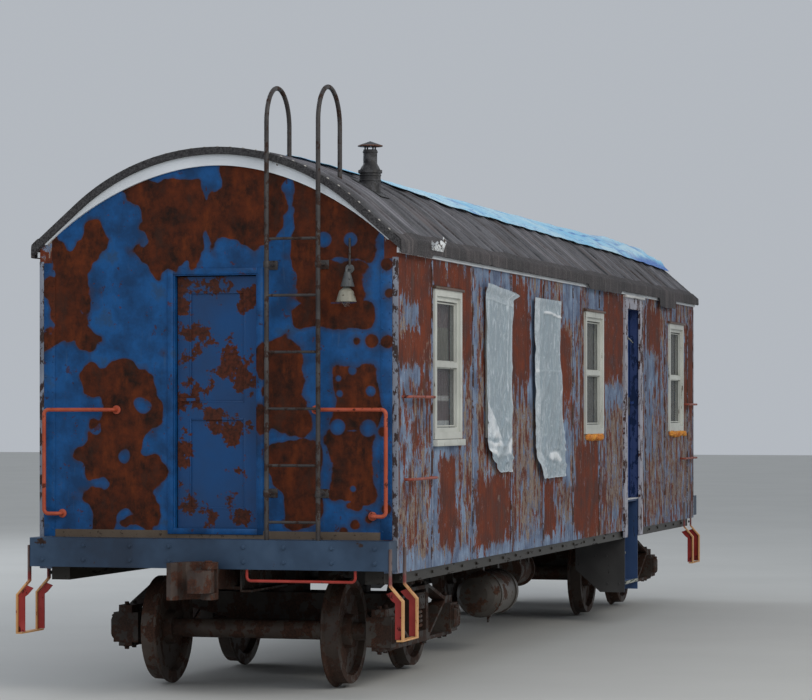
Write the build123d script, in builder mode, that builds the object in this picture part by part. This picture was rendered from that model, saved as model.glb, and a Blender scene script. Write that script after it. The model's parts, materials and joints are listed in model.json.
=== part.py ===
from build123d import *
import os
from math import asin, cos, radians, sin, tan

# Wooden dynamometer car on two four-wheel arch-bar bogies, in millimetres.
# X runs along the car from the A end (-X) to the B end (+X). The left side is -Y.
# Z is up from the tips of the wheel flanges. The origin is midway between ends and sides.

os.makedirs("parts", exist_ok=True)

SIDES = (("left", -1), ("right", 1))  # name, sign of Y
ENDS = (("a", -1), ("b", 1))  # name, sign of X
SEAT = 0.3  # gap where round or running faces seat
CLEAR = 6.0  # least gap between pieces that move past each other

# Wheels, axles and axle boxes
FLANGE_DEPTH = 28.0
TREAD_RADIUS = 419.0
BACK_TO_BACK = 1360.0
RIM_WIDTH = 135.0
RIM_DEPTH = 66.0
FLANGE_WIDTH = 33.0
HUB_RADIUS = 140.0
HUB_PROUD = 14.0
WEB_THICKNESS = 34.0
AXLE_RADIUS = 75.0
JOURNAL_RADIUS = 55.0
JOURNAL_CENTRE = 1060.0
BOX_LENGTH = 220.0
BOX_WIDTH = 210.0
BOX_HEIGHT = 240.0
BOX_WALL = 45.0

# Bogie
BOGIE_INSET = 1850.0
WHEELBASE = 1800.0
BAR_WIDTH = 110.0
BAR_THICKNESS = 30.0
BAR_REACH = 120.0
COLUMN_LENGTH = 70.0
ARCH_RISE = 130.0
BOLSTER_LENGTH = 390.0
BOLSTER_END_HEIGHT = 135.0
BOLSTER_DEPTH = 225.0
BOLSTER_TOP = 700.0
PLANK_THICKNESS = 30.0
SPRING_RADIUS = 72.0
SPRING_WIRE = 28.0
SPRING_COILS = 4
CENTRE_PLATE_RADIUS = 170.0
CENTRE_PLATE_HEIGHT = 60.0
KING_PIN_RADIUS = 32.0
KING_PIN_DEPTH = 110.0
SIDE_BEARING_Y = 620.0
SIDE_BEARING_SIZE = 120.0
SHOE_THICKNESS = 45.0
SHOE_HEIGHT = 190.0
SHOE_WIDTH = 84.0
BRAKE_BEAM_SIZE = 56.0
BEAM_CARRIER_Y = 450.0

# Body
BODY_LENGTH = 12440.0
BODY_WIDTH = 2900.0
SIDE_THICKNESS = 100.0
END_THICKNESS = 80.0
SHEATHING_BOTTOM = 958.0
FLOOR_TOP = 1268.0
FLOOR_THICKNESS = 60.0
CROWN_HEIGHT = 4158.0
ROOF_RADIUS = 1680.0
ARC_HALF_WIDTH = 1100.0
ROOF_THICKNESS = 55.0
ROOF_SIDE_OVERHANG = 45.0
ROOF_END_OVERHANG = 60.0
ROOF_RIB_HEIGHT = 14.0
ROOF_RIB_WIDTH = 45.0
ROOF_RIB_PITCH = 470.0
FASCIA_DEPTH = 85.0
FASCIA_THICKNESS = 25.0
DRIP_HEIGHT = 42.0
DRIP_THICKNESS = 20.0

# Underframe
CENTRE_SILL_SPACING = 400.0
CENTRE_SILL_FLANGE = 95.0
CENTRE_SILL_WEB = 16.0
CENTRE_SILL_BOTTOM = 800.0
SIDE_SILL_BOTTOM = 873.0
SIDE_SILL_INSET = 25.0
SIDE_SILL_WEB_THICKNESS = 150.0
SIDE_SILL_END_GAP = 250.0
CROSS_BEARER_BOTTOM = 930.0
CROSS_BEARER_LENGTH = 110.0
END_SILL_BOTTOM = 985.0
END_SILL_LENGTH = 215.0
BODY_BOLSTER_LENGTH = 300.0
BOLSTER_PLATE = 16.0
POCKET_LENGTH = 240.0
POCKET_PLATE = 24.0
BODY_BOLSTER_END_RISE = 170.0

# Windows
WINDOW_INSETS = (1453.0, 3140.0, 4976.0, 6990.0, 11310.0)  # from the A end to the middles
WINDOW_WIDTH = 840.0
WINDOW_HEIGHT = 1190.0
WINDOW_HEADROOM = 291.0
CASING_WIDTH = 55.0
CASING_PROUD = 20.0
SASH_WIDTH = 45.0
SASH_DEPTH = 60.0
GLASS_THICKNESS = 5.0
GLASS_INSET = 28.0
COVERED_WINDOWS = (  # distance from the A end, width, reach below the window, reach above
    (3140.0, 915.0, 298.0, 109.0),
    (4976.0, 1000.0, 396.0, 67.0),
)
COVER_THICKNESS = 22.0

# Side doors, their frames and the stairs below them
DOOR_INSET = 8910.0
DOOR_CLEAR = 640.0
DOOR_HEADROOM = 202.0
DOOR_STOP = 15.0
LINING_THICKNESS = 25.0
DOOR_CASING_WIDTH = 150.0
DOOR_HEADER_HEIGHT = 114.0
DOOR_FRAME_BOTTOM = 888.0
LEAF_THICKNESS = 40.0
LEAF_INSET = 95.0
LEAF_GAP = 7.5
LEAF_STILE = 95.0
PANEL_RECESS = 12.0
HINGE_PIN_RADIUS = 8.0
HINGE_BARREL_RADIUS = 14.0
HINGE_HEIGHT = 120.0
HINGE_END_DISTANCE = 260.0
HANDLE_RISE = 1007.0
HANDLE_LENGTH = 120.0
HANDLE_STANDOFF = 40.0
STAIR_BOTTOM = 318.0
STAIR_PLATE = 12.0
STAIR_DEPTH = 530.0
STAIR_FOOT_DEPTH = 270.0
STAIR_SHOULDER = 548.0
TREAD_HEIGHTS = (424.0, 705.0, 986.0)
TREAD_DEPTH = 260.0
TREAD_SETBACK = 130.0
TREAD_THICKNESS = 24.0
TRAP_THICKNESS = 20.0

# End doors
END_DOOR_CLEAR = 660.0
END_DOOR_HEIGHT = 1962.0
END_LEAF_INSET = 45.0

# Couplers
COUPLER_HEIGHT = 904.0
COUPLER_PIVOT_INSET = 420.0
COUPLER_SHANK_WIDTH = 130.0
COUPLER_SHANK_HEIGHT = 150.0
COUPLER_HEAD_GAP = 65.0
COUPLER_HEAD_HEIGHT = 280.0
COUPLER_PIN_RADIUS = 25.0
KNUCKLE_PIN_RADIUS = 20.0
KNUCKLE_HEIGHT = 170.0
KNUCKLE_PIVOT = (150.0, 95.0)  # outwards from the head's start, then aside
HEAD_OUTLINE = (  # outwards from the head's start, aside
    (-30.0, 65.0),
    (20.0, 130.0),
    (92.0, 145.0),
    (92.0, -30.0),
    (150.0, -85.0),
    (262.0, -112.0),
    (300.0, -150.0),
    (285.0, -190.0),
    (150.0, -175.0),
    (40.0, -130.0),
    (-30.0, -65.0),
)
LUG_OUTLINE = ((80.0, 40.0), (165.0, 45.0), (165.0, 144.0), (80.0, 144.0))
KNUCKLE_OUTLINE = (
    (150.0, 141.0),
    (235.0, 146.0),
    (300.0, 112.0),
    (322.0, 55.0),
    (316.0, -12.0),
    (268.0, -20.0),
    (250.0, 48.0),
    (150.0, 49.0),
)

# Steps, handrails, ladder and levers
STIRRUP_WIDTH = 440.0
STIRRUP_BAR_WIDTH = 50.0
STIRRUP_BAR_THICKNESS = 12.0
STIRRUP_PROUD = 110.0
STIRRUP_BOTTOM = 460.0
STIRRUP_TOP = 1150.0
STIRRUP_INSET = 400.0
STIRRUP_BEND_HEIGHTS = (870.0, 760.0)
GRAB_RADIUS = 11.0
GRAB_STANDOFF = 60.0
GRABS = (  # sign of X, distance of the two ends from the end wall, height
    (-1, 140.0, 890.0, 2296.0),
    (-1, 210.0, 950.0, 1665.0),
    (1, 90.0, 650.0, 2262.0),
    (1, 90.0, 840.0, 1651.0),
)
END_RAIL_RADIUS = 15.0
END_RAIL_STANDOFF = 75.0
END_RAIL_HEIGHT = 2197.0
END_RAIL_FOOT = 1390.0
END_RAIL_INSETS = (65.0, 190.0, 640.0)  # upright, foot and far end, from the side
LADDER_INSETS = (570.0, 980.0)
LADDER_PIPE_RADIUS = 18.0
LADDER_STANDOFF = 170.0
LADDER_LOOP_REACH = 560.0
LADDER_LOOP_RISE = 522.0
LADDER_BRACKET_RISES = (352.0, 2092.0)
RUNG_RADIUS = 11.0
RUNG_DROP = 664.0
RUNG_PITCH = 430.0
RUNG_COUNT = 6
LEVER_RADIUS = 11.0
LEVER_INSETS = (270.0, 1130.0)
LEVER_HEIGHT = 898.0

# Roof, lamp and underfloor fittings
JACK_INSET = 1150.0
JACK_Y = -900.0
JACK_RADII = (84.0, 56.0, 98.0)  # foot, neck, cap
JACK_RISES = (121.0, 197.0, 308.0, 336.0, 376.0)  # ring, neck, pipe end, brim, cap tip
LAMP_INSET = 369.0
LAMP_HEIGHTS = (3013.0, 3111.0, 3187.0, 3266.0)  # brim, shoulder, neck, bracket
LAMP_REACH = 100.0
LAMP_RADIUS = 76.0
TARP_THICKNESS = 14.0
TARP_END_OVERHANG = 30.0
TARP_EDGE = (  # distance from the A end, inset from the left side
    (720.0, 1030.0),
    (2300.0, 690.0),
    (3520.0, 450.0),
    (5320.0, 390.0),
)
TARP_SIDE_INSET = 345.0
TANK_X = (-1870.0, -1020.0)
TANK_Y = -950.0
TANK_HEIGHT = 532.0
TANK_RADIUS = 200.0
CYLINDER_X = (180.0, 700.0)
CYLINDER_Y = -700.0
CYLINDER_HEIGHT = 640.0
CYLINDER_RADIUS = 150.0
STRAP_WIDTH = 60.0
STRAP_THICKNESS = 10.0
TANK_BEARERS = (-1720.0, -1170.0)
CYLINDER_BEARERS = (270.0, 610.0)
CROSS_BEARERS = (-2600.0, *TANK_BEARERS, -450.0, *CYLINDER_BEARERS, 1500.0, 2240.0)

# What follows from the driving sizes
AXLE_HEIGHT = FLANGE_DEPTH + TREAD_RADIUS
FLANGE_RADIUS = TREAD_RADIUS + FLANGE_DEPTH
HALF_LENGTH = BODY_LENGTH / 2
HALF_WIDTH = BODY_WIDTH / 2
SIDE_INNER = HALF_WIDTH - SIDE_THICKNESS
FLOOR_BOTTOM = FLOOR_TOP - FLOOR_THICKNESS
ARCH_CENTRE = CROWN_HEIGHT - ROOF_RADIUS
SLOPE = asin(ARC_HALF_WIDTH / ROOF_RADIUS)
SILL_TOP = FLOOR_BOTTOM
BOGIE_CENTRE = HALF_LENGTH - BOGIE_INSET
COUPLER_PIVOT = HALF_LENGTH - COUPLER_PIVOT_INSET
COUPLER_HEAD_START = HALF_LENGTH + END_SILL_LENGTH + COUPLER_HEAD_GAP
WINDOW_CENTRES = [inset - HALF_LENGTH for inset in WINDOW_INSETS]
DOOR_CENTRE = DOOR_INSET - HALF_LENGTH
JACK_X = JACK_INSET - HALF_LENGTH
EAVE_DROP = (HALF_WIDTH - ARC_HALF_WIDTH) * tan(SLOPE)
WALL_TOP = ARCH_CENTRE + ROOF_RADIUS * cos(SLOPE) - EAVE_DROP
DOOR_TOP = WALL_TOP - DOOR_HEADROOM
WINDOW_MIDDLE = WALL_TOP - WINDOW_HEADROOM - WINDOW_HEIGHT / 2
END_DOOR_TOP = FLOOR_TOP + END_DOOR_HEIGHT
HANDLE_HEIGHT = FLOOR_TOP + HANDLE_RISE
SIDE_SILL_INNER = SIDE_INNER - SIDE_SILL_WEB_THICKNESS
BOX_TOP = AXLE_HEIGHT + BOX_HEIGHT / 2
BOX_BOTTOM = AXLE_HEIGHT - BOX_HEIGHT / 2
COLUMN_INNER = BOLSTER_LENGTH / 2
COLUMN_OUTER = COLUMN_INNER + COLUMN_LENGTH
PLANK_BOTTOM = BOX_BOTTOM + BAR_THICKNESS
PLANK_TOP = PLANK_BOTTOM + PLANK_THICKNESS
BOLSTER_END_BOTTOM = BOLSTER_TOP - BOLSTER_END_HEIGHT
PIVOT_PLANE = BOLSTER_TOP + CENTRE_PLATE_HEIGHT
BEARING_PLANE = PIVOT_PLANE + 1
LINING_INNER = DOOR_CLEAR / 2 + DOOR_STOP
DOOR_CUT = LINING_INNER + LINING_THICKNESS
STAIR_HALF = LINING_INNER
LEAF_OUTER_Y = HALF_WIDTH - LEAF_INSET
LEAF_INNER_Y = LEAF_OUTER_Y - LEAF_THICKNESS
FRAME_INNER_Y = LEAF_INNER_Y + 5


def arch_points(rise, reach):
    """Left half of the roof arch, rise outside the boards' underside: eave, tangent, crown."""
    radius = ROOF_RADIUS + rise
    tangent_y = radius * sin(SLOPE)
    tangent_z = ARCH_CENTRE + radius * cos(SLOPE)
    eave_z = tangent_z - (reach - tangent_y) * tan(SLOPE)
    return (-reach, eave_z), (-tangent_y, tangent_z), (0, ARCH_CENTRE + radius)


def flip(point):
    """The same point on the other side of the centre line."""
    return -point[0], point[1]


def arch_band(plane, low, high, reach):
    """Cross-section between two rises of the roof arch, out to reach on both sides."""
    eave_low, turn_low, crown_low = arch_points(low, reach)
    eave_high, turn_high, crown_high = arch_points(high, reach)
    with BuildSketch(plane) as band:
        with BuildLine():
            Line(eave_low, turn_low)
            ThreePointArc(turn_low, crown_low, flip(turn_low))
            Polyline(flip(turn_low), flip(eave_low), flip(eave_high), flip(turn_high))
            ThreePointArc(flip(turn_high), crown_high, turn_high)
            Polyline(turn_high, eave_high, eave_low)
        make_face()
    return band.sketch


def under_arch(plane, rise, reach, bottom):
    """Cross-section under the roof arch, from bottom up, out to reach on both sides."""
    eave, turn, crown = arch_points(rise, reach)
    with BuildSketch(plane) as section:
        with BuildLine():
            Line(eave, turn)
            ThreePointArc(turn, crown, flip(turn))
            Polyline(flip(turn), flip(eave), (reach, bottom), (-reach, bottom), eave)
        make_face()
    return section.sketch


def roof_height(y, rise=0.0):
    """Height of the roof arch at a distance from the centre line."""
    radius = ROOF_RADIUS + rise
    return ARCH_CENTRE + (radius**2 - y**2) ** 0.5


def handed(shape, sign, about):
    """The shape as drawn for the minus side, or its mirror image for the plus side."""
    return shape if sign < 0 else mirror(shape, about=about, mode=Mode.PRIVATE)


def rod(points, radius, bend):
    """Round bar along straight runs joined by bends of one radius."""
    with BuildPart() as bar:
        with BuildLine() as path:
            FilletPolyline(*points, radius=bend)
        with BuildSketch(path.line ^ 0):
            Circle(radius)
        sweep()
    return bar.part


def straight(start, end, radius):
    """Round bar between two points."""
    with BuildPart() as bar:
        with BuildLine() as path:
            Line(start, end)
        with BuildSketch(path.line ^ 0):
            Circle(radius)
        sweep()
    return bar.part


# Centre sills: two channels back to back with the draft pockets and coupler pins between them
SILL_WEB_Y = CENTRE_SILL_SPACING / 2
SILL_FLANGE_Y = SILL_WEB_Y + CENTRE_SILL_FLANGE
with BuildPart() as centre_sills:
    for _, side in SIDES:
        with BuildSketch(Plane.YZ):
            with BuildLine():
                lower_flange = CENTRE_SILL_BOTTOM + CENTRE_SILL_WEB
                upper_flange = SILL_TOP - CENTRE_SILL_WEB
                Polyline(
                    (side * SILL_WEB_Y, CENTRE_SILL_BOTTOM),
                    (side * SILL_FLANGE_Y, CENTRE_SILL_BOTTOM),
                    (side * SILL_FLANGE_Y, lower_flange),
                    (side * (SILL_WEB_Y + CENTRE_SILL_WEB), lower_flange),
                    (side * (SILL_WEB_Y + CENTRE_SILL_WEB), upper_flange),
                    (side * SILL_FLANGE_Y, upper_flange),
                    (side * SILL_FLANGE_Y, SILL_TOP),
                    (side * SILL_WEB_Y, SILL_TOP),
                    close=True,
                )
            make_face()
        extrude(amount=HALF_LENGTH, both=True)
    shank_bottom = COUPLER_HEIGHT - COUPLER_SHANK_HEIGHT / 2
    shank_top = COUPLER_HEIGHT + COUPLER_SHANK_HEIGHT / 2
    pocket_plates = (
        (CENTRE_SILL_BOTTOM, shank_bottom - CLEAR),
        (shank_top + CLEAR, shank_top + CLEAR + POCKET_PLATE),
    )
    for _, end in ENDS:
        for low, high in pocket_plates:
            with BuildSketch(Plane.XY.offset(low)):
                with Locations((end * COUPLER_PIVOT, 0)):
                    Rectangle(POCKET_LENGTH, CENTRE_SILL_SPACING)
            extrude(amount=high - low)
        with BuildSketch(Plane.XY.offset(CENTRE_SILL_BOTTOM)):
            with Locations((end * COUPLER_PIVOT, 0)):
                Circle(COUPLER_PIN_RADIUS)
        extrude(amount=shank_top + CLEAR - CENTRE_SILL_BOTTOM)
centre_sills.part.label = "centre_sills"
export_step(centre_sills.part, "parts/centre_sills.step")

# Cross-bearers, each in three lengths between the sills
BEARER_SPANS = (  # Y from, Y to
    (-SIDE_SILL_INNER, -SILL_FLANGE_Y),
    (-SILL_WEB_Y, SILL_WEB_Y),
    (SILL_FLANGE_Y, SIDE_SILL_INNER),
)
with BuildPart() as cross_bearers:
    for bearer_x in CROSS_BEARERS:
        for start, end in BEARER_SPANS:
            with BuildSketch(Plane.XY.offset(CROSS_BEARER_BOTTOM)):
                with Locations((bearer_x, (start + end) / 2)):
                    Rectangle(CROSS_BEARER_LENGTH, end - start)
            extrude(amount=SILL_TOP - CROSS_BEARER_BOTTOM)
cross_bearers.part.label = "cross_bearers"
export_step(cross_bearers.part, "parts/cross_bearers.step")

# Body bolsters with their centre plates, king pins and side bearings
with BuildPart() as body_bolsters:
    arm_start = SIDE_BEARING_Y + SIDE_BEARING_SIZE
    for _, end in ENDS:
        with BuildSketch(Plane.YZ.offset(end * BOGIE_CENTRE)):
            for _, side in SIDES:
                with BuildLine():
                    Polyline(
                        (side * SILL_FLANGE_Y, SILL_TOP),
                        (side * SILL_FLANGE_Y, CENTRE_SILL_BOTTOM),
                        (side * arm_start, CENTRE_SILL_BOTTOM),
                        (side * SIDE_SILL_INNER, CENTRE_SILL_BOTTOM + BODY_BOLSTER_END_RISE),
                        (side * SIDE_SILL_INNER, SILL_TOP),
                        close=True,
                    )
                make_face()
        extrude(amount=BODY_BOLSTER_LENGTH / 2, both=True)
        with BuildSketch(Plane.XY.offset(CENTRE_SILL_BOTTOM)):
            with Locations((end * BOGIE_CENTRE, 0)):
                Rectangle(BODY_BOLSTER_LENGTH, 2 * arm_start)
        extrude(amount=-BOLSTER_PLATE)
        with BuildSketch(Plane.XY.offset(PIVOT_PLANE + SEAT)):
            with Locations((end * BOGIE_CENTRE, 0)):
                Circle(CENTRE_PLATE_RADIUS - 10)
        extrude(amount=CENTRE_SILL_BOTTOM - BOLSTER_PLATE - PIVOT_PLANE - SEAT)
        with BuildSketch(Plane.XY.offset(PIVOT_PLANE - KING_PIN_DEPTH)):
            with Locations((end * BOGIE_CENTRE, 0)):
                Circle(KING_PIN_RADIUS)
        extrude(amount=KING_PIN_DEPTH + SEAT)
        with BuildSketch(Plane.XY.offset(BEARING_PLANE)):
            with Locations((end * BOGIE_CENTRE, SIDE_BEARING_Y), (end * BOGIE_CENTRE, -SIDE_BEARING_Y)):
                Rectangle(SIDE_BEARING_SIZE, SIDE_BEARING_SIZE)
        extrude(amount=CENTRE_SILL_BOTTOM - BOLSTER_PLATE - BEARING_PLANE)
body_bolsters.part.label = "body_bolsters"
export_step(body_bolsters.part, "parts/body_bolsters.step")

# Side sills: an outer ledge that carries the side wall and an inner web, broken at the stairs
with BuildPart() as side_sills:
    runs = (
        (-HALF_LENGTH, DOOR_CENTRE - DOOR_CUT),
        (DOOR_CENTRE + DOOR_CUT, HALF_LENGTH),
    )
    for _, side in SIDES:
        for start, end in runs:
            with BuildSketch(Plane.YZ.offset(start)):
                web_y = side * (SIDE_INNER - SIDE_SILL_WEB_THICKNESS / 2)
                with Locations((web_y, (SIDE_SILL_BOTTOM + SILL_TOP) / 2)):
                    Rectangle(SIDE_SILL_WEB_THICKNESS, SILL_TOP - SIDE_SILL_BOTTOM)
            extrude(amount=end - start)
            ledge_start = max(start, -HALF_LENGTH + SIDE_SILL_END_GAP)
            ledge_end = min(end, HALF_LENGTH - SIDE_SILL_END_GAP)
            ledge_width = SIDE_THICKNESS - SIDE_SILL_INSET
            ledge_y = side * (SIDE_INNER + ledge_width / 2)
            with BuildSketch(Plane.YZ.offset(ledge_start)):
                with Locations((ledge_y, (SIDE_SILL_BOTTOM + SHEATHING_BOTTOM) / 2)):
                    Rectangle(ledge_width, SHEATHING_BOTTOM - SIDE_SILL_BOTTOM)
            extrude(amount=ledge_end - ledge_start)
side_sills.part.label = "side_sills"
export_step(side_sills.part, "parts/side_sills.step")

# End sills: box beams across each end
for end_name, end in ENDS:
    with BuildPart() as end_sill:
        with BuildSketch(Plane.YZ.offset(end * HALF_LENGTH)):
            with Locations((0, (END_SILL_BOTTOM + SILL_TOP) / 2)):
                Rectangle(BODY_WIDTH, SILL_TOP - END_SILL_BOTTOM)
        extrude(amount=end * END_SILL_LENGTH)
        fillet(end_sill.edges().filter_by(Axis.Z).group_by(Axis.X)[0 if end < 0 else -1], radius=12)
    end_sill.part.label = f"end_sill_{end_name}"
    export_step(end_sill.part, f"parts/end_sill_{end_name}.step")

# Floor with the stair openings, and the trap plates that cover them
with BuildPart() as floor:
    with BuildSketch(Plane.XY.offset(FLOOR_BOTTOM)):
        Rectangle(BODY_LENGTH, 2 * SIDE_INNER)
        for _, side in SIDES:
            with Locations((DOOR_CENTRE, side * (HALF_WIDTH - STAIR_DEPTH / 2))):
                Rectangle(2 * STAIR_HALF, STAIR_DEPTH, mode=Mode.SUBTRACT)
            with Locations((DOOR_CENTRE, side * (FRAME_INNER_Y + BODY_WIDTH / 2))):
                Rectangle(2 * DOOR_CUT, BODY_WIDTH, mode=Mode.SUBTRACT)
    extrude(amount=FLOOR_THICKNESS)
floor.part.label = "floor"
export_step(floor.part, "parts/floor.step")

with BuildPart() as trap_plates:
    for _, side in SIDES:
        with BuildSketch(Plane.XY.offset(FLOOR_TOP - TRAP_THICKNESS)):
            with Locations((DOOR_CENTRE, side * (HALF_WIDTH - STAIR_DEPTH / 2 - 5))):
                Rectangle(2 * STAIR_HALF, STAIR_DEPTH - 10)
        extrude(amount=TRAP_THICKNESS)
trap_plates.part.label = "trap_plates"
export_step(trap_plates.part, "parts/trap_plates.step")

# Side walls with their windows and doorways
WINDOW_CUT_WIDTH = WINDOW_WIDTH - 2 * CASING_WIDTH + 20
WINDOW_CUT_HEIGHT = WINDOW_HEIGHT - 2 * CASING_WIDTH + 20
for side_name, side in SIDES:
    with BuildPart() as side_wall:
        with BuildSketch(Plane.YZ):
            with BuildLine():
                eave = arch_points(0, HALF_WIDTH)[0][1]
                inner_top = arch_points(0, SIDE_INNER)[0][1]
                Polyline(
                    (side * SIDE_INNER, SHEATHING_BOTTOM),
                    (side * HALF_WIDTH, SHEATHING_BOTTOM),
                    (side * HALF_WIDTH, eave),
                    (side * SIDE_INNER, inner_top),
                    close=True,
                )
            make_face()
        extrude(amount=HALF_LENGTH, both=True)
        with BuildSketch(Plane.XZ):
            with Locations(*[(x, WINDOW_MIDDLE) for x in WINDOW_CENTRES]):
                Rectangle(WINDOW_CUT_WIDTH, WINDOW_CUT_HEIGHT)
            with Locations((DOOR_CENTRE, (SHEATHING_BOTTOM + DOOR_TOP + LINING_THICKNESS) / 2)):
                Rectangle(2 * DOOR_CUT, DOOR_TOP + LINING_THICKNESS - SHEATHING_BOTTOM)
        extrude(amount=BODY_WIDTH, both=True, mode=Mode.SUBTRACT)
    side_wall.part.label = f"side_wall_{side_name}"
    export_step(side_wall.part, f"parts/side_wall_{side_name}.step")

# End walls with a doorway each
for end_name, end in ENDS:
    with BuildPart() as end_wall:
        extrude(
            under_arch(Plane.YZ.offset(end * (HALF_LENGTH - END_THICKNESS)), -SEAT, SIDE_INNER, FLOOR_TOP),
            amount=end * END_THICKNESS,
        )
        with BuildSketch(Plane.YZ):
            with Locations((0, (FLOOR_TOP + END_DOOR_TOP) / 2)):
                Rectangle(END_DOOR_CLEAR, END_DOOR_TOP - FLOOR_TOP)
        extrude(amount=BODY_LENGTH, both=True, mode=Mode.SUBTRACT)
    end_wall.part.label = f"end_wall_{end_name}"
    export_step(end_wall.part, f"parts/end_wall_{end_name}.step")

# Roof boards and canvas, with the raised bands over their seams
ROOF_HALF_LENGTH = HALF_LENGTH + ROOF_END_OVERHANG
ROOF_REACH = HALF_WIDTH + ROOF_SIDE_OVERHANG
RIB_COUNT = int((2 * ROOF_HALF_LENGTH - 700) / ROOF_RIB_PITCH) + 1
with BuildPart() as roof:
    extrude(arch_band(Plane.YZ, 0, ROOF_THICKNESS, ROOF_REACH), amount=ROOF_HALF_LENGTH, both=True)
    for index in range(RIB_COUNT):
        rib_x = (index - (RIB_COUNT - 1) / 2) * ROOF_RIB_PITCH
        rib_plane = Plane.YZ.offset(rib_x - ROOF_RIB_WIDTH / 2)
        extrude(
            arch_band(rib_plane, ROOF_THICKNESS - 1, ROOF_THICKNESS + ROOF_RIB_HEIGHT, ROOF_REACH - 20),
            amount=ROOF_RIB_WIDTH,
        )
roof.part.label = "roof"
export_step(roof.part, "parts/roof.step")

# Curved fascia boards under the roof's ends and drip strips under its eaves
FASCIA_REACH = HALF_WIDTH - 50
with BuildPart() as roof_trim:
    for _, end in ENDS:
        face_plane = Plane.YZ.offset(end * HALF_LENGTH)
        eave_y, eave_z = arch_points(-SEAT, FASCIA_REACH)[0]
        crown_z = CROWN_HEIGHT - FASCIA_DEPTH
        with BuildSketch(face_plane) as fascia:
            add(under_arch(Plane.XY, -SEAT, FASCIA_REACH, eave_z - 5))
            with BuildLine():
                tip = (eave_y + 12, eave_z - 8)
                shoulder = (-ARC_HALF_WIDTH * 0.62, roof_height(ARC_HALF_WIDTH * 0.62) - FASCIA_DEPTH)
                Spline(tip, shoulder, (0, crown_z), flip(shoulder), flip(tip))
                Line(flip(tip), tip)
            make_face(mode=Mode.SUBTRACT)
        extrude(amount=end * FASCIA_THICKNESS)
    drip_top = arch_points(0, HALF_WIDTH + DRIP_THICKNESS)[0][1] - SEAT
    for _, side in SIDES:
        with BuildSketch(Plane.YZ):
            with Locations((side * (HALF_WIDTH + DRIP_THICKNESS / 2), drip_top - DRIP_HEIGHT / 2)):
                Rectangle(DRIP_THICKNESS, DRIP_HEIGHT)
        extrude(amount=HALF_LENGTH, both=True)
roof_trim.part.label = "roof_trim"
export_step(roof_trim.part, "parts/roof_trim.step")

# Window frames: outside casing, sashes set in the wall and a meeting rail
SASH_OUTER_WIDTH = WINDOW_CUT_WIDTH
SASH_OUTER_HEIGHT = WINDOW_CUT_HEIGHT
PANE_WIDTH = SASH_OUTER_WIDTH - 2 * SASH_WIDTH
PANE_HEIGHT = (SASH_OUTER_HEIGHT - 3 * SASH_WIDTH) / 2
PANE_OFFSET = (PANE_HEIGHT + SASH_WIDTH) / 2
for side_name, side in SIDES:
    with BuildPart() as window_frames:
        for x in WINDOW_CENTRES:
            with BuildSketch(Plane.XZ.offset(HALF_WIDTH)):
                with Locations((x, WINDOW_MIDDLE)):
                    Rectangle(WINDOW_WIDTH, WINDOW_HEIGHT)
                    Rectangle(WINDOW_CUT_WIDTH - 20, WINDOW_CUT_HEIGHT - 20, mode=Mode.SUBTRACT)
            extrude(amount=CASING_PROUD)
            with BuildSketch(Plane.XZ.offset(HALF_WIDTH)):
                with Locations((x, WINDOW_MIDDLE)):
                    Rectangle(SASH_OUTER_WIDTH, SASH_OUTER_HEIGHT)
                with Locations((x, WINDOW_MIDDLE - PANE_OFFSET), (x, WINDOW_MIDDLE + PANE_OFFSET)):
                    Rectangle(PANE_WIDTH, PANE_HEIGHT, mode=Mode.SUBTRACT)
            extrude(amount=-SASH_DEPTH)
    frames = handed(window_frames.part, side, Plane.XZ)
    frames.label = f"window_frames_{side_name}"
    export_step(frames, f"parts/window_frames_{side_name}.step")

# Window glass, two panes to a window
with BuildPart() as window_glass:
    for _, side in SIDES:
        glass_y = side * (HALF_WIDTH - GLASS_INSET)
        for x in WINDOW_CENTRES:
            for offset in (-PANE_OFFSET, PANE_OFFSET):
                with Locations((x, glass_y, WINDOW_MIDDLE + offset)):
                    Box(PANE_WIDTH, GLASS_THICKNESS, PANE_HEIGHT)
window_glass.part.label = "window_glass"
export_step(window_glass.part, "parts/window_glass.step")

# Plastic sheets fixed over two windows, as plain soft solids
with BuildPart() as plastic_covers:
    for inset, width, below, above in COVERED_WINDOWS:
        with BuildSketch(Plane.XZ.offset(HALF_WIDTH + CASING_PROUD + SEAT)):
            with Locations((inset - HALF_LENGTH, WINDOW_MIDDLE + (above - below) / 2)):
                RectangleRounded(width, WINDOW_HEIGHT + above + below, 60)
        extrude(amount=COVER_THICKNESS)
plastic_covers.part.label = "plastic_covers"
export_step(plastic_covers.part, "parts/plastic_covers.step")

# Tarpaulin over the ridge, as a plain soft solid on the roof's bands
TARP_RISE = ROOF_THICKNESS + ROOF_RIB_HEIGHT + SEAT
with BuildPart() as tarp:
    shell = arch_band(Plane.YZ, TARP_RISE, TARP_RISE + TARP_THICKNESS, HALF_WIDTH)
    extrude(shell, amount=ROOF_HALF_LENGTH, both=True)
    tarp_end = HALF_LENGTH + TARP_END_OVERHANG
    tarp_side = HALF_WIDTH - TARP_SIDE_INSET
    left_edge = [(along - HALF_LENGTH, inset - HALF_WIDTH) for along, inset in TARP_EDGE]
    with BuildSketch():
        with BuildLine():
            Polyline(
                *left_edge,
                (tarp_end, -tarp_side),
                (tarp_end, tarp_side),
                (left_edge[0][0], tarp_side),
                close=True,
            )
        make_face()
    extrude(amount=2 * CROWN_HEIGHT, mode=Mode.INTERSECT)
tarp.part.label = "tarp"
export_step(tarp.part, "parts/tarp.step")

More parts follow.
